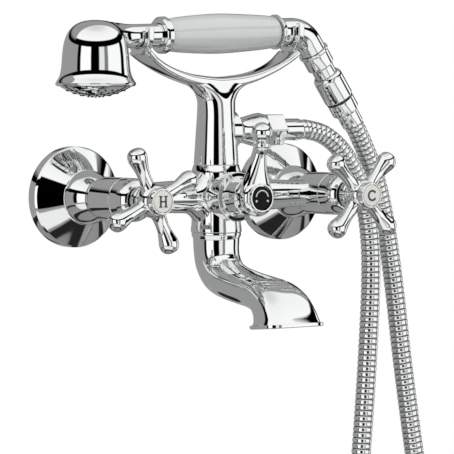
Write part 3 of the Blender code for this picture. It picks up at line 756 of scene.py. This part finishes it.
class MIXER_OT_hose(bpy.types.Operator):
    """The spiral hose, in two strands"""

    bl_idname = "mixer.hose"
    bl_label = "Hose"

    def execute(self, context):
        sizes = context.scene.mixer_sizes
        start = Vector((72.8, AXIS_D, OUTLET_Z))
        end = tail_frame() @ Matrix.Translation((0, 0, 64.7 * MM))
        x, y, z = end.translation / MM
        finish = Vector((x, -y, z))
        ahead = end.to_3x3() @ Vector((0, 0, 1))
        lead = finish + Vector((ahead.x, 0, ahead.z)) * 6
        straight = [start + Vector((x, 0, 0)) for x in (0, 3, 6)]
        route = Route([*straight, *HOSE_ROUTE, lead, finish])
        pitch = sizes.ring_pitch / MM
        rings = round(route.marks[-1] / pitch)
        split = round(HOSE_SPLIT * rings)
        tap = self.stations(route, 0, split, route.marks[-1] / rings)
        upper = self.stations(route, split, rings, route.marks[-1] / rings)
        tap_strand = self.strand("spiral_hose_tap", tap, sizes.hose / MM)
        done(tap_strand, wound_strip(), "mixer", "hose_metal", "shower_hose_tap")
        hand_strand = self.strand("spiral_hose_handset", upper, sizes.hose / MM)
        hand_strand.data.materials.append(wound_strip())
        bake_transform(hand_strand)
        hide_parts("shower_hose_handset")
        tap = [point for point, _ in tap]
        upper = [point for point, _ in reversed(upper)]
        return {"FINISHED"}

    def stations(self, route, first, last, pitch):
        """Points and radii along some of the rings: flat bands with a narrow groove after each."""
        ring = ((0, 0.885), (0.13, 0.975), (0.26, 1.0), (0.76, 1.0), (0.89, 0.975))
        start_gap, end_gap = (STRAND_GAP, 0) if first else (0, STRAND_GAP)
        stations = [(route.at((k + at) * pitch + start_gap), share) for k in range(first, last) for at, share in ring]
        return [*stations, (route.at(last * pitch - end_gap), ring[0][1])]

    def strand(self, name, stations, radius):
        """A tube that follows the stations, with its grooves marked for the shade that the material paints in them."""
        path = [Vector((x, -d, z)) for (x, d, z), _ in stations]
        count = 20
        vertices, faces, seams = [], [], []
        side = Vector((0, 1, 0))
        for i, point in enumerate(path):
            ahead = (path[min(i + 1, len(path) - 1)] - path[max(i - 1, 0)]).normalized()
            side = (side - ahead * side.dot(ahead)).normalized()
            up = ahead.cross(side)
            for k in range(count):
                a = TURN * k / count
                vertices.append((point + (side * math.cos(a) + up * math.sin(a)) * radius * stations[i][1]) * MM)
                seams.append(1.0 if stations[i][1] < 0.9 else 0.0)
            if i:
                for k in range(count):
                    j = (k + 1) % count
                    low, high = (i - 1) * count, i * count
                    faces.append((low + k, low + j, high + j, high + k))
        faces.append(list(reversed(range(count))))
        faces.append([(len(path) - 1) * count + k for k in range(count)])
        mesh = bpy.data.meshes.new(name)
        mesh.from_pydata(vertices, [], faces)
        # The grooves' mask: the material paints shade near black wherever it is 1.
        mesh.attributes.new("seam", "FLOAT", "POINT").data.foreach_set("value", seams)
        obj = bpy.data.objects.new(name, mesh)
        bpy.context.scene.collection.objects.link(obj)
        picked(obj)
        bpy.ops.object.mode_set(mode="EDIT")
        bpy.ops.mesh.select_all(action="SELECT")
        bpy.ops.mesh.normals_make_consistent(inside=False)
        bpy.ops.object.mode_set(mode="OBJECT")
        bpy.ops.object.shade_smooth_by_angle(angle=math.radians(50))
        return obj


class MIXER_OT_inlets(bpy.types.Operator):
    """Wall flanges, union nuts and threaded wall tails"""

    bl_idname = "mixer.inlets"
    bl_label = "Wall Inlets"

    def execute(self, context):
        chrome = polished_chrome()
        r = context.scene.mixer_sizes.flange / MM
        rim = [(18.2, 20.2, 0.3), (19, 19.8, 0.4), (33.6, 8.8, 0.5), (r, 7.6, 0.5), (r, 0.3, 0.2)]
        shell = [(33.2, 0.3), (33.2, 6.6, 0.4), (17.2, 18.2, 0.4), (14.4, 18.2), (14.4, 20.2)]
        flange = turned("chrome_flange", rim + shell, ring=True, place=FROM_WALL)
        on_both_sides(flange, "mixer", "chrome", "wall_flange", chrome)
        dome = flow([(12.6, 35.9), (14.4, 33.4), (16.2, 30.4), (17.6, 27.2), (18.6, 24.2), (19, 21.8)])
        nut = [(11.2, 36), *dome, (18.9, 20.9), (18.4, 20.5), (13, 20.5), (13, 30.4), (11.2, 30.4)]
        nut = turned("chrome_union_nut", nut, ring=True, place=FROM_WALL)
        on_both_sides(nut, "mixer", "chrome", "union_nut", chrome)
        on_both_sides(self.tail(), "mixer", "brass", "wall_union", turned_brass())
        return {"FINISHED"}

    def tail(self):
        """The threaded tail, with the 1.8 mm ridges of a half inch pipe thread."""
        thread = []
        for k in range(10):
            h = 5 - 1.81 * k
            thread += [(9.5, h), (10.4, h - 0.7), (10.4, h - 1.0)]
        upper = [(12.6, 24, 0.3), (12.6, 13), (13.6, 13, 0.3), (13.6, 6, 0.3), (9.5, 6)]
        profile = [*upper, *thread, (9.3, -13.4), (9.3, -15, 0.4), (7, -15), (7, 24)]
        return turned("brass_wall_tail", profile, ring=True, sides=64, place=FROM_WALL)


class MIXER_OT_body(bpy.types.Operator):
    """The mixer's body: arms, middle, diverter boss and valve barrels"""

    bl_idname = "mixer.body"
    bl_label = "Body"

    def execute(self, context):
        swell = [(14, 13, 20.4), (16.8, 12.8, 18), (19.4, 12.5, 15), (23, 12, 12.7), (28, 11.5, 11.5)]
        half = [*swell, (46, 10.9, 10.9), (62, 9.9, 9.9), (72, 9.4, 9.4), (78, 9.6, 9.6)]
        arms = [(x, -AXIS_D, 0, deep, high) for x, deep, high in flow(half, 4)]
        arms = [*[(-x, *rest) for x, *rest in reversed(arms)], *arms]
        pieces = [swept("arms", arms, (0, 1, 0), 96, 2, 60)]
        top = [(0, 21.6), (14.4, 21.6), (15.9, 21.6, 0.5), (17.5, 16.6, 1.5)]
        waist = flow([(17.6, 12), (17.5, 4), (17.3, -8), (17.2, -17), (17.3, -20)], 4)
        foot = [(17.7, -22.6, 0.6), (17.7, -25.2, 0.5), (0, -25.2)]
        pieces.append(turned("middle", [*top, *waist, *foot], place=matrix_at((0, AXIS_D, 0))))
        boss = [(0, 68), (16.4, 68, 0.8), (16.4, 52), (0, 52)]
        pieces.append(turned("boss", boss, place=FROM_WALL))
        face = [(0, 66.8), (14.9, 66.8, 0.7), (14.9, 42.6, 1), (14.2, 40.4, 1), (12.4, 38.4, 0.8)]
        neck = [(10.4, 37, 1), (10.4, 31, 0.6), (12.3, 30, 0.5), (12.3, 26.6), (0, 26.6)]
        for side, x in sides():
            barrel = turned("barrel_" + side, face + neck, place=matrix_at((x, 0, 0), OUT_FROM_WALL))
            pieces.append(barrel)
        body = joined("chrome_body", *pieces)
        done(body, polished_chrome(), "mixer", "chrome", "mixer_body")
        return {"FINISHED"}


class MIXER_OT_bonnets(bpy.types.Operator):
    """The covers over the two headworks and the diverter's cartridge"""

    bl_idname = "mixer.bonnets"
    bl_label = "Bonnets"

    def execute(self, context):
        chrome = polished_chrome()
        crown = [(14.8, 67.1, 0.4), (14.8, 75, 0.8), *flow([(14.5, 77.4), (13.6, 80), (12, 82)], 5)]
        cover = [(8.7, 83), (10.8, 82.9, 0.3), *reversed(crown), (13, 67.1), (13, 75), (8.7, 80.6)]
        bonnet = turned("chrome_bonnet", cover, ring=True, place=FROM_WALL)
        on_both_sides(bonnet, "mixer", "chrome", "valve_bonnet", chrome)
        step = [(17.2, 68.3, 0.4), (17.2, 73, 0.9), (14, 73.8, 0.5), (13.5, 80, 0.6), (12.6, 85.2, 1.2)]
        cover = [(9.2, 86), *reversed(step), (12.3, 68.3), (12.3, 78), (9.2, 82.4)]
        bonnet = turned("chrome_diverter_bonnet", cover, ring=True, place=FROM_WALL)
        done(bonnet, chrome, "mixer", "chrome", "diverter_bonnet")
        return {"FINISHED"}


class MIXER_OT_handles(bpy.types.Operator):
    """The two cross handles with their caps, discs and letters"""

    bl_idname = "mixer.handles"
    bl_label = "Cross Handles"

    def execute(self, context):
        chrome = polished_chrome()
        cross = self.cross(context)
        dome = [(7.9, 109.2, 0.2), (8.7, 109.2, 0.4), (9.3, 107.4, 0.8), (9, 104.3, 0.3), (6.8, 104.3), (6.8, 102)]
        seat = [(5.2, 102), (5.2, 105), (0.4, 105), (0.4, 107.8), (7.9, 107.8)]
        cap = turned("chrome_handle_cap", dome + seat, ring=True, sides=64, place=FROM_WALL)
        disc = [(0, 109.5), (7.3, 109.4, 0.3), (7.6, 108.1), (0, 108.1)]
        disc = turned("enamel_disc", disc, sides=64, place=FROM_WALL)
        for side, x in sides():
            body = side + "_handle"
            turn = {"hot": 24, "cold": 46}[side]
            placed = matrix_at((x, 0, 0)) @ Matrix.Rotation(math.radians(-turn), 4, "Y")
            done(copied(cross, "chrome_cross_" + side, placed), chrome, body, "chrome", "cross_handle_" + side)
        on_both_sides(cap, "", "chrome", "handle_cap", chrome)
        on_both_sides(disc, "", "ivory_enamel", "index_disc", ivory_enamel())
        bpy.data.objects.remove(cross)
        (_, hot_x), (_, cold_x) = sides()
        self.letter_h(hot_x)
        self.letter_c(cold_x)
        return {"FINISHED"}

    def cross(self, context):
        """Four arms, each turned about its own line with a swollen end, on a hollow hub."""
        reach = context.scene.mixer_sizes.handle / MM
        hub = [(9.4, 104, 0.5), *flow([(10.4, 103), (11.3, 100.6), (11.4, 97), (10.6, 93.4), (9.6, 90.6)], 4)]
        skirt = [(9.3, 89.6, 0.3), (9.9, 88.6, 0.4), (9.9, 84.6, 0.4)]
        bore = [(8.6, 84.6), (8.6, 90), (4, 90), (4, 101.5), (7.2, 101.5), (7.2, 104)]
        parts = [turned("cross", hub + skirt + bore, ring=True, place=FROM_WALL)]
        stem = [(6.4, 8), (5, 12), (4.5, 17), (4.8, 22), (6, 27.4)]
        lobe = [(6.9, 31.4), (6.3, 35), (4.4, 37.2), (2.2, 38), (0, reach)]
        arm = turned("arm", [(0, 8), *flow(stem + lobe, 5)], sides=40)
        squash = Matrix.Diagonal((1, 0.94, 1, 1))
        for k in range(4):
            place = matrix_at((0, 98, 0)) @ Matrix.Rotation(TURN * k / 4, 4, "Y") @ squash
            parts.append(copied(arm, "arm_%d" % k, place))
        bpy.data.objects.remove(arm)
        return joined("chrome_cross", *parts)

    def bar(self, name, x, z, width, height):
        """A flat raised stroke of a letter on the disc's face."""
        bpy.ops.object.select_all(action="DESELECT")
        bpy.ops.mesh.primitive_cube_add(size=1, location=(x * MM, -109.55 * MM, z * MM))
        obj = bpy.context.object
        obj.name = name
        bpy.ops.object.mode_set(mode="EDIT")
        bpy.ops.mesh.select_all(action="SELECT")
        bpy.ops.transform.resize(value=(width * MM, 0.3 * MM, height * MM))
        bpy.ops.mesh.bevel(offset=0.05 * MM, segments=2)
        bpy.ops.object.mode_set(mode="OBJECT")
        return settled(obj, obj.matrix_world.copy())

    def letter_h(self, x):
        strokes = [self.bar("stroke", x + s * 2.1, 0, 1.2, 7.2) for s in (-1, 1)]
        strokes.append(self.bar("stroke", x, 0, 3.8, 0.9))
        for s in (-1, 1):
            strokes += [self.bar("stroke", x + s * 2.1, t * 3.5, 2.7, 0.6) for t in (-1, 1)]
        done(joined("letter_h", *strokes), letter_ink(), "hot_handle", "black_plastic")

    def letter_c(self, x):
        arc = spun("arc", 3.3, 1.2, 109.55, 48, 264)
        arc = settled(arc, matrix_at((x, 0, 0)))
        ticks = [self.bar("stroke", x + 2.5, t * 2.3, 0.8, 1.7) for t in (-1, 1)]
        done(joined("letter_c", arc, *ticks), letter_ink(), "cold_handle", "black_plastic")


def spun(name, radius, width, face, start, sweep):
    """A raised flat arc about the line out of the wall: a small upright rectangle, spun. Angles from +X towards +Z."""
    bpy.ops.object.select_all(action="DESELECT")
    bpy.ops.mesh.primitive_plane_add(size=1, location=(0, 0, 0))
    obj = bpy.context.object
    obj.name = name
    bpy.ops.object.mode_set(mode="EDIT")
    bpy.ops.mesh.select_all(action="SELECT")
    bpy.ops.transform.resize(value=(width * MM, 0.3 * MM, 1))
    bpy.ops.transform.translate(value=(radius * MM, 0, 0))
    bpy.ops.mesh.spin(steps=32, angle=math.radians(sweep), center=(0, 0, 0), axis=(0, 1, 0))
    bpy.ops.mesh.select_all(action="SELECT")
    bpy.ops.mesh.remove_doubles(threshold=0.000001)
    bpy.ops.mesh.normals_make_consistent(inside=False)
    bpy.ops.object.mode_set(mode="OBJECT")
    return settled(obj, Matrix.Translation((0, -face * MM, 0)) @ Matrix.Rotation(-math.radians(start), 4, "Y"))


class MIXER_OT_diverter(bpy.types.Operator):
    """The diverter's lever with its ball, black disc and marks"""

    bl_idname = "mixer.diverter"
    bl_label = "Diverter Lever"

    def execute(self, context):
        chrome = polished_chrome()
        rim = [(8.7, 100.6, 0.2), (9.7, 100.6, 0.4), (9.9, 98.8, 0.5)]
        swell = flow([(11.4, 98.3), (12.6, 96.8), (12.8, 94.4), (12, 91.4), (10.2, 88.6)], 4)
        bore = [(8.2, 86.4, 0.8), (4, 86.4), (4, 95.9), (8.7, 95.9)]
        hub = turned("hub", rim + swell + bore, ring=True, place=FROM_WALL)
        arm = flow(
            [
                (0, -93, 0, 12.6, 5.8),
                (0, -93.1, 5, 12.2, 5.8),
                (0, -93.5, 11, 10.7, 5.7),
                (0, -94.4, 18, 8, 5.4),
                (0, -95.6, 26, 5.7, 5.2),
                (0, -96.9, 31.4, 4.6, 4.9),
                (0, -97.4, 34.2, 4.2, 4.8),
            ],
            5,
        )
        arm = swept("arm", arm, (1, 0, 0), 40, 2.2)
        done(joined("chrome_lever", hub, arm), chrome, "diverter", "chrome", "diverter_lever")
        r = context.scene.mixer_sizes.ball / MM
        # The ball's centre over the lever's end.
        centre = 10.3
        ball = [(r * math.sin(a), centre + r * math.cos(a)) for a in [math.radians(6 * k) for k in range(26)]]
        collar = [(5.2, 3.4, 0.4), (6.1, 2.6, 0.6), (6.1, 0.7, 0.6), (5, -0.2, 0.3), (5.4, -0.9, 0.4)]
        collar += [(3.5, -4.6, 0.3), (0, -4.6)]
        knob = turned("chrome_ball", [*ball, *collar], sides=64, place=matrix_at((0, 99.8, 34.3)))
        done(knob, chrome, "diverter", "chrome", "lever_ball")
        disc = [(0, 100.3), (7.9, 100.2, 0.3), (8.2, 98.1), (0, 98.1)]
        disc = turned("enamel_diverter_disc", disc, sides=64, place=FROM_WALL)
        done(disc, black_enamel(), "diverter", "black_plastic", "diverter_index")
        marks = [spun("mark", 5.2, 0.8, 100.35, 10, 160)]
        marks.append(spun("mark", 5.2, 1.6, 100.35, 196, 14))
        marks.append(spun("mark", 5.2, 1.6, 100.35, 330, 14))
        done(joined("diverter_marks", *marks), white_ink(), "diverter", "ivory_enamel")
        return {"FINISHED"}


class MIXER_OT_spout(bpy.types.Operator):
    """The bath spout"""

    bl_idname = "mixer.spout"
    bl_label = "Spout"

    def execute(self, context):
        outside = self.rings(0)
        mouth = outside[-1]
        # A lip stands out 0.7 mm round the mouth, from 2.4 to 0.5 mm above its edge.
        over_lip = [point + Vector((0, 0, 2.6)) for point in mouth]
        edge = self.rings(-0.7)[-1]
        lip = [[point + Vector((0, MOUTH_LEAN, 1)) * rise for point in edge] for rise in (2.4, 0.5)]
        outside = [*outside[:-2], over_lip, *lip, mouth]
        inside = self.rings(2.4)[4:]
        spout = grown("chrome_spout", [*outside, *reversed(inside)], 50)
        done(spout, polished_chrome(), "mixer", "chrome", "spout")
        return {"FINISHED"}

    def rings(self, inset):
        stations = flow(SPOUT_STATIONS[2:], 6)
        stations = [*SPOUT_STATIONS[:2], *stations]
        mouth_way = Vector((0, -MOUTH_LEAN, -1)).normalized()
        last = len(stations) - 1
        rings = []
        for i, (d, z, wide, thick) in enumerate(stations):
            point = Vector((0, -d, z))
            before, after = stations[max(i - 1, 0)], stations[min(i + 1, last)]
            ahead = Vector((0, before[0] - after[0], after[1] - before[1])).normalized()
            normal = ahead.lerp(mouth_way, max(0, 1 - (last - i) / 8)).normalized().cross(Vector((1, 0, 0)))
            power = 2 + 1.6 * max(0, (i - SQUARE_FROM) / (last - SQUARE_FROM))
            rings.append(oval(point, Vector((1, 0, 0)), normal, wide - inset, thick - inset, 72, power))
        return rings


class MIXER_OT_cradle(bpy.types.Operator):
    """The column with its hose outlet, and the cradle's bow and two hooks"""

    bl_idname = "mixer.cradle"
    bl_label = "Cradle"

    def execute(self, context):
        foot = [(15.6, 21.9), (15.5, 25), (14.9, 34), (14.1, 46), (13.4, 56)]
        levels = [(z, r, r, 2.0) for r, z in flow(foot, 4)]
        # Half width, z and half depth: the column grows wider and squarer up to the bow.
        flare = [(13.4, 56, 13.4), (13.3, 62, 13), (13.7, 66.5, 12.5), (15.2, 70.6, 11.5)]
        flare += [(18, 73.8, 10.3), (22, 76.2, 9.3), (27.6, 78.3, 8.4), (34, 80.6, 7.4)]
        levels += [(z, wide, deep, 2.0 + 1.4 * max(0, z - 66) / 15) for wide, z, deep in flow(flare, 4)[1:]]
        across, out = Vector((1, 0, 0)), Vector((0, 1, 0))
        rings = [oval(Vector((0, -AXIS_D, z)), across, out, wide, deep, 96, power) for z, wide, deep, power in levels]
        pieces = [grown("column", rings)]
        waist = [(11.9, 37), (11.6, 33.6), (10.4, 28.4), (9.2, 23.6), (8.9, 20), (9.4, 17), (11, 14.6), (14, 12.6)]
        boss = [(0, 39.6), (11.4, 39.6, 0.8), *flow(waist, 5), (14, 6), (0, 6)]
        pieces.append(turned("outlet", boss, place=OUTLET))
        # Half of the bow: x, z, half width and half thickness.
        half = [(0, 78.6, 8.2, 4), (17, 79.9, 8.2, 4), (28, 82, 8.2, 3.5), (38, 85, 8.4, 3.1)]
        half += [(48, 89, 9.1, 2.8), (56, 93.2, 10.4, 2.6), (61, 96.6, 11.7, 2.6), (64.6, 99.4, 12.4, 2.5)]
        bow = [*[(-x, *rest) for x, *rest in reversed(half[1:])], *half]
        bow = flow([(x, -AXIS_D, z, wide, thick) for x, z, wide, thick in bow], 4)
        pieces.append(swept("bow", bow, (0, 1, 0), 48, 3.4))
        slope = math.tan(GRIP_TILT)
        for x, radius, tip in ((-64.5, 8.8, 116), (64.5, 10.3, 120.3)):
            pieces.append(self.hook(x, GRIP_Z + x * slope, radius, tip))
        done(joined("chrome_cradle", *pieces), polished_chrome(), "mixer", "chrome", "cradle_column")
        return {"FINISHED"}

    def hook(self, x, z, radius, tip):
        """A fork open to the top, one prong in front of the hand shower and one behind."""
        middle = radius + 2.2
        lower = [(middle * math.cos(a), z + middle * math.sin(a)) for a in [math.pi * (1 + k / 16) for k in range(17)]]
        prong = [tip, tip - 0.4, (tip + z) / 2]
        path = [*[(-middle, height) for height in prong], *lower, *[(middle, height) for height in reversed(prong)]]
        stations = [[x, y - AXIS_D, height, 2.5, 2.3] for y, height in path]
        for end in (0, -1):
            stations[end][3:] = [2.1, 1.9]
        return swept("hook", stations, (1, 0, 0), 32, 5, 30)


class MIXER_OT_hose_fittings(bpy.types.Operator):
    """Nuts, cones and ferrules at both ends of the hose"""

    bl_idname = "mixer.hose_fittings"
    bl_label = "Hose Fittings"

    def execute(self, context):
        chrome = polished_chrome()
        self.hexagon(chrome)
        collar = [(7.4, 72.4, 0.3), (7.7, 72, 0.3), (7.7, 53.6, 0.3), (9.5, 53, 0.3), (9.5, 51.3, 0.2)]
        barrel = [(8.1, 24), (8.1, 13.8, 0.4), (9.6, 13.2, 0.3), (10.1, 12.4, 0.4), (10.1, 3, 0.3)]
        bead = [(9.9, 2.4, 0.2), (11, 2.2, 0.4), (11, 0.5, 0.4), (9.4, 0.3), (6, 0.3), (6, 24)]
        shoulder = flow([(10.7, 26), (10.7, 24.4), (10.3, 22.6), (9.4, 21.3)], 4)
        nut = [(8.8, 41.2), (10.5, 41.2, 0.3), (10.7, 40.6, 0.3), *shoulder, (8.9, 21), (8.5, 21), (8.8, 24.4)]
        cone = [(5.8, 53), (9.2, 53, 0.3), (10.1, 52.2, 0.5), (10.1, 43, 0.4), (9.4, 42.8), (7.2, 42.8)]
        stem = [(7.2, 41.2), (8.3, 41.2), (8.3, 26.4), (5.8, 26.4)]
        lower = [(5.8, 64.4), (7.5, 64.4, 0.3), (7.9, 63.8, 0.3), (7.9, 54, 0.3), (7.6, 53.3), (5.8, 53.3)]
        tail = tail_frame()
        pieces = (
            ("chrome_ferrule_tap", [*collar, (5.6, 51.3), (5.6, 72.4)], OUTLET, "mixer", "hose_ferrule_tap"),
            ("chrome_connector", barrel + bead, tail, "handset", "handset_connector"),
            ("chrome_hose_nut", nut, tail, "handset", "hose_nut_handset"),
            ("chrome_hose_cone", cone + stem, tail, "handset", "hose_cone"),
            ("chrome_ferrule_handset", lower, tail, "handset", "hose_ferrule_handset"),
        )
        for name, profile, place, body, shown_for in pieces:
            done(turned(name, profile, ring=True, sides=72, place=place), chrome, body, "chrome", shown_for)
        return {"FINISHED"}

    def hexagon(self, chrome):
        """A hexagon nut with both ends chamfered, bored right through."""
        bpy.ops.object.select_all(action="DESELECT")
        bpy.ops.mesh.primitive_cylinder_add(vertices=6, radius=12.4 * MM, depth=14.6 * MM, location=(0, 0, 47.5 * MM))
        nut = bpy.context.object
        bpy.ops.object.transform_apply(location=True, rotation=True, scale=True)
        bpy.ops.object.mode_set(mode="EDIT")
        bpy.ops.mesh.select_all(action="SELECT")
        bpy.ops.mesh.bevel(offset=0.7 * MM, segments=4, affect="EDGES")
        bpy.ops.object.mode_set(mode="OBJECT")
        drill = turned("drill", [(0, 60), (8.1, 60), (8.1, 53.4), (10, 53.4), (10, 36), (0, 36)], sides=64)
        cut = nut.modifiers.new("bore", "BOOLEAN")
        cut.operation = "DIFFERENCE"
        cut.solver = "EXACT"
        cut.object = drill
        picked(nut)
        bpy.ops.object.modifier_apply(modifier=cut.name)
        bpy.data.objects.remove(drill)
        bpy.ops.object.shade_smooth_by_angle(angle=math.radians(25))
        nut.name = nut.data.name = "chrome_hex_nut"
        done(settled(nut, OUTLET), chrome, "mixer", "chrome", "hose_nut_tap")


def elbow_line():
    """Points (x, z) along the elbow in the hand shower's own frame, and the direction in which it ends."""
    points = [(55.9, 0), (60, 0)]
    for k in range(25):
        a = ELBOW_DROP * k / 24
        points.append((ELBOW_START + ELBOW_BEND * math.sin(a), -ELBOW_BEND * (1 - math.cos(a))))
    x, z = points[-1]
    ahead = (math.cos(ELBOW_DROP), -math.sin(ELBOW_DROP))
    points.append((x + ELBOW_TAIL * ahead[0], z + ELBOW_TAIL * ahead[1]))
    return points, ahead


def tail_frame():
    """The placement of the pieces after the elbow: their heights run down along the connector."""
    points, ahead = elbow_line()
    x, z = points[-1]
    return HANDSET @ Matrix.Translation((x * MM, 0, z * MM)) @ Matrix.Rotation(math.atan2(ahead[0], ahead[1]), 4, "Y")


class MIXER_OT_hand_shower(bpy.types.Operator):
    """The hand shower's head and spray face"""

    bl_idname = "mixer.hand_shower"
    bl_label = "Shower Head"

    def execute(self, context):
        chrome = polished_chrome()
        crown = [(0, 121.2), (5, 120.9), (9.6, 119.9), (14, 117.8), (17.6, 114.4), (20, 110.2), (21.6, 105)]
        skirt = [(22.6, 98), (23.1, 91), (23.7, 86.4), (24.7, 82.8), (26.5, 79.8), (27.3, 78.2), (26.9, 76.9)]
        outside = [*flow(crown + skirt, 5), (25.8, 76.3)]
        inside = [(24, 76.3), (23.4, 77, 0.3), (23.4, 83.6), (22, 88), (20.2, 100), (16.6, 111.6), (10, 117)]
        bell = turned("bell", [*outside, *inside, (0, 118.6)], place=HEAD)
        flare = [(-49.9, 0, 8.1, 8.1), (-60, 0, 8.1, 8.1), (-70, 0, 8.1, 8.1), (-77, 0, 8.5, 8.4)]
        flare += [(-83, -0.2, 10.2, 9.5), (-89, -0.8, 13.2, 10.9), (-96, -0.6, 14.5, 11)]
        neck = [(x, 0, z, wide, high) for x, z, wide, high in flow(flare, 4)]
        neck = settled(swept("neck", neck, (0, 1, 0), 72, 2, 50), HANDSET)
        done(joined("chrome_shower_head", bell, neck), chrome, "handset", "chrome", "handset_head")
        self.face(chrome)
        return {"FINISHED"}

    def face(self, chrome):
        """The domed spray face, 24.2 mm in radius and 32 degrees to its rim, with its nozzles in rings."""
        radius = 24.2 / math.sin(math.radians(32))
        base = 76.1 + radius * math.cos(math.radians(32))
        angles = [math.radians(32 - 2 * k) for k in range(17)]
        dome = [(radius * math.sin(a), base - radius * math.cos(a)) for a in angles]
        inner = [(0, 71.6), (12, 73), (21.4, 77), (21.4, 82), (23, 82), (23, 76.3)]
        face = turned("chrome_spray_face", [*dome, *inner], ring=True, place=HEAD)
        done(face, chrome, "handset", "chrome", "spray_face")
        nib = turned("nib", [(0, 0.55), (0.5, 0.55, 0.1), (0.85, 0, 0.1), (0.85, -1), (0, -1)], sides=10)
        nibs = []
        for ring, (r, count) in enumerate(((0, 1), (5, 6), (10, 12), (15, 18), (19.6, 24))):
            tilt = math.asin(r / radius)
            for k in range(count):
                spin = TURN * (k + 0.5 * (ring % 2)) / count
                z = base - radius * math.cos(tilt)
                place = matrix_at((HEAD_X, AXIS_D, z)) @ Matrix.Rotation(spin, 4, "Z")
                place = place @ Matrix.Translation((r * MM, 0, 0)) @ Matrix.Rotation(math.pi - tilt, 4, "Y")
                nibs.append(copied(nib, "nib_%d_%d" % (ring, k), place))
        bpy.data.objects.remove(nib)
        done(joined("spray_nozzles", *nibs), moulded_rubber(), "handset", "rubber")


class MIXER_OT_grip(bpy.types.Operator):
    """The porcelain grip and its two chrome rings"""

    bl_idname = "mixer.grip"
    bl_label = "Grip"

    def execute(self, context):
        chrome = polished_chrome()
        along = HANDSET @ Matrix.Rotation(math.pi / 2, 4, "Y")
        rear_half = [(8.4, 50.7), (9.8, 50.4), (11, 48.6), (11.7, 44), (12.4, 35), (13.1, 23), (13.8, 8)]
        front_half = [(13.9, -2), (13.4, -16), (12.5, -30), (11.4, -40), (10.8, -43.1)]
        sleeve = [*flow(rear_half + front_half, 5), (8.4, -43.1)]
        front = [(8.4, -43.4), (11.2, -43.4, 0.5), (12.8, -44.8, 0.6), (12.8, -48, 0.8), (11.4, -49.6, 0.6)]
        rear = [(8.4, 55.6), (10.2, 55.6, 0.4), (10.6, 53.6, 0.8), (12.3, 52.2, 0.3), (12.3, 51, 0.3), (8.4, 51)]
        pieces = (
            ("porcelain_sleeve", sleeve, glazed_porcelain(), "porcelain", "porcelain_grip"),
            ("chrome_grip_ring_front", [*front, (8.4, -49.6)], chrome, "chrome", "grip_ring_front"),
            ("chrome_grip_ring_rear", rear, chrome, "chrome", "grip_ring_rear"),
        )
        for name, profile, material, slot, shown_for in pieces:
            done(turned(name, profile, ring=True, place=along), material, "handset", slot, shown_for)
        return {"FINISHED"}


class MIXER_OT_elbow(bpy.types.Operator):
    """The elbow behind the grip"""

    bl_idname = "mixer.elbow"
    bl_label = "Elbow"

    def execute(self, context):
        points, _ = elbow_line()
        elbow = swept("chrome_elbow", [(x, 0, z, 9.6, 9.6) for x, z in points], (0, 1, 0), 72, 2, 50)
        done(settled(elbow, HANDSET), polished_chrome(), "handset", "chrome", "handset_elbow")
        return {"FINISHED"}


class MIXER_OT_inner_pieces(bpy.types.Operator):
    """Finishes of the pieces that keep their frame shape, such as washers, screws and spindles"""

    bl_idname = "mixer.inner_pieces"
    bl_label = "Inner Pieces"

    def execute(self, context):
        finishes = {
            "brass": nickel_plate(),
            "rubber": moulded_rubber(),
            "fibre": vulcanised_fibre(),
            "steel": stainless_steel(),
            "black_plastic": black_plastic(),
            "chrome": polished_chrome(),
        }
        slots = {part["node"]: part["material_slot"] for part in frame["record"]["subparts"]}
        for name, obj in frame["nodes"].items():
            if obj.hide_render:
                continue
            for holder in obj.material_slots:
                holder.material = finishes[slots[name]]
        return {"FINISHED"}


PIECES = (
    MIXER_OT_stage,
    MIXER_OT_hose,
    MIXER_OT_inlets,
    MIXER_OT_body,
    MIXER_OT_bonnets,
    MIXER_OT_handles,
    MIXER_OT_diverter,
    MIXER_OT_spout,
    MIXER_OT_cradle,
    MIXER_OT_hose_fittings,
    MIXER_OT_hand_shower,
    MIXER_OT_grip,
    MIXER_OT_elbow,
    MIXER_OT_inner_pieces,
)


class MIXER_PT_panel(bpy.types.Panel):
    """Lists the sizes, the colours and the operators"""

    bl_idname = "MIXER_PT_panel"
    bl_label = "Bath Mixer"
    bl_space_type = "VIEW_3D"
    bl_region_type = "UI"
    bl_category = "Bath Mixer"

    def draw(self, context):
        for group in (context.scene.mixer_sizes, context.scene.mixer_colours):
            column = self.layout.column(align=True)
            for key in group.bl_rna.properties.keys():
                if key not in ("rna_type", "name"):
                    column.prop(group, key)
        for piece in PIECES:
            self.layout.operator(piece.bl_idname)


CLASSES = (MixerSizes, MixerColours, *PIECES, MIXER_PT_panel)


def register():
    for cls in CLASSES:
        bpy.utils.register_class(cls)
    bpy.types.Scene.mixer_sizes = PointerProperty(type=MixerSizes)
    bpy.types.Scene.mixer_colours = PointerProperty(type=MixerColours)


def unregister():
    del bpy.types.Scene.mixer_colours
    del bpy.types.Scene.mixer_sizes
    for cls in reversed(CLASSES):
        bpy.utils.unregister_class(cls)


def main():
    register()
    for piece in PIECES:
        group, name = piece.bl_idname.split(".")
        getattr(getattr(bpy.ops, group), name)()


if __name__ == "__main__":
    main()
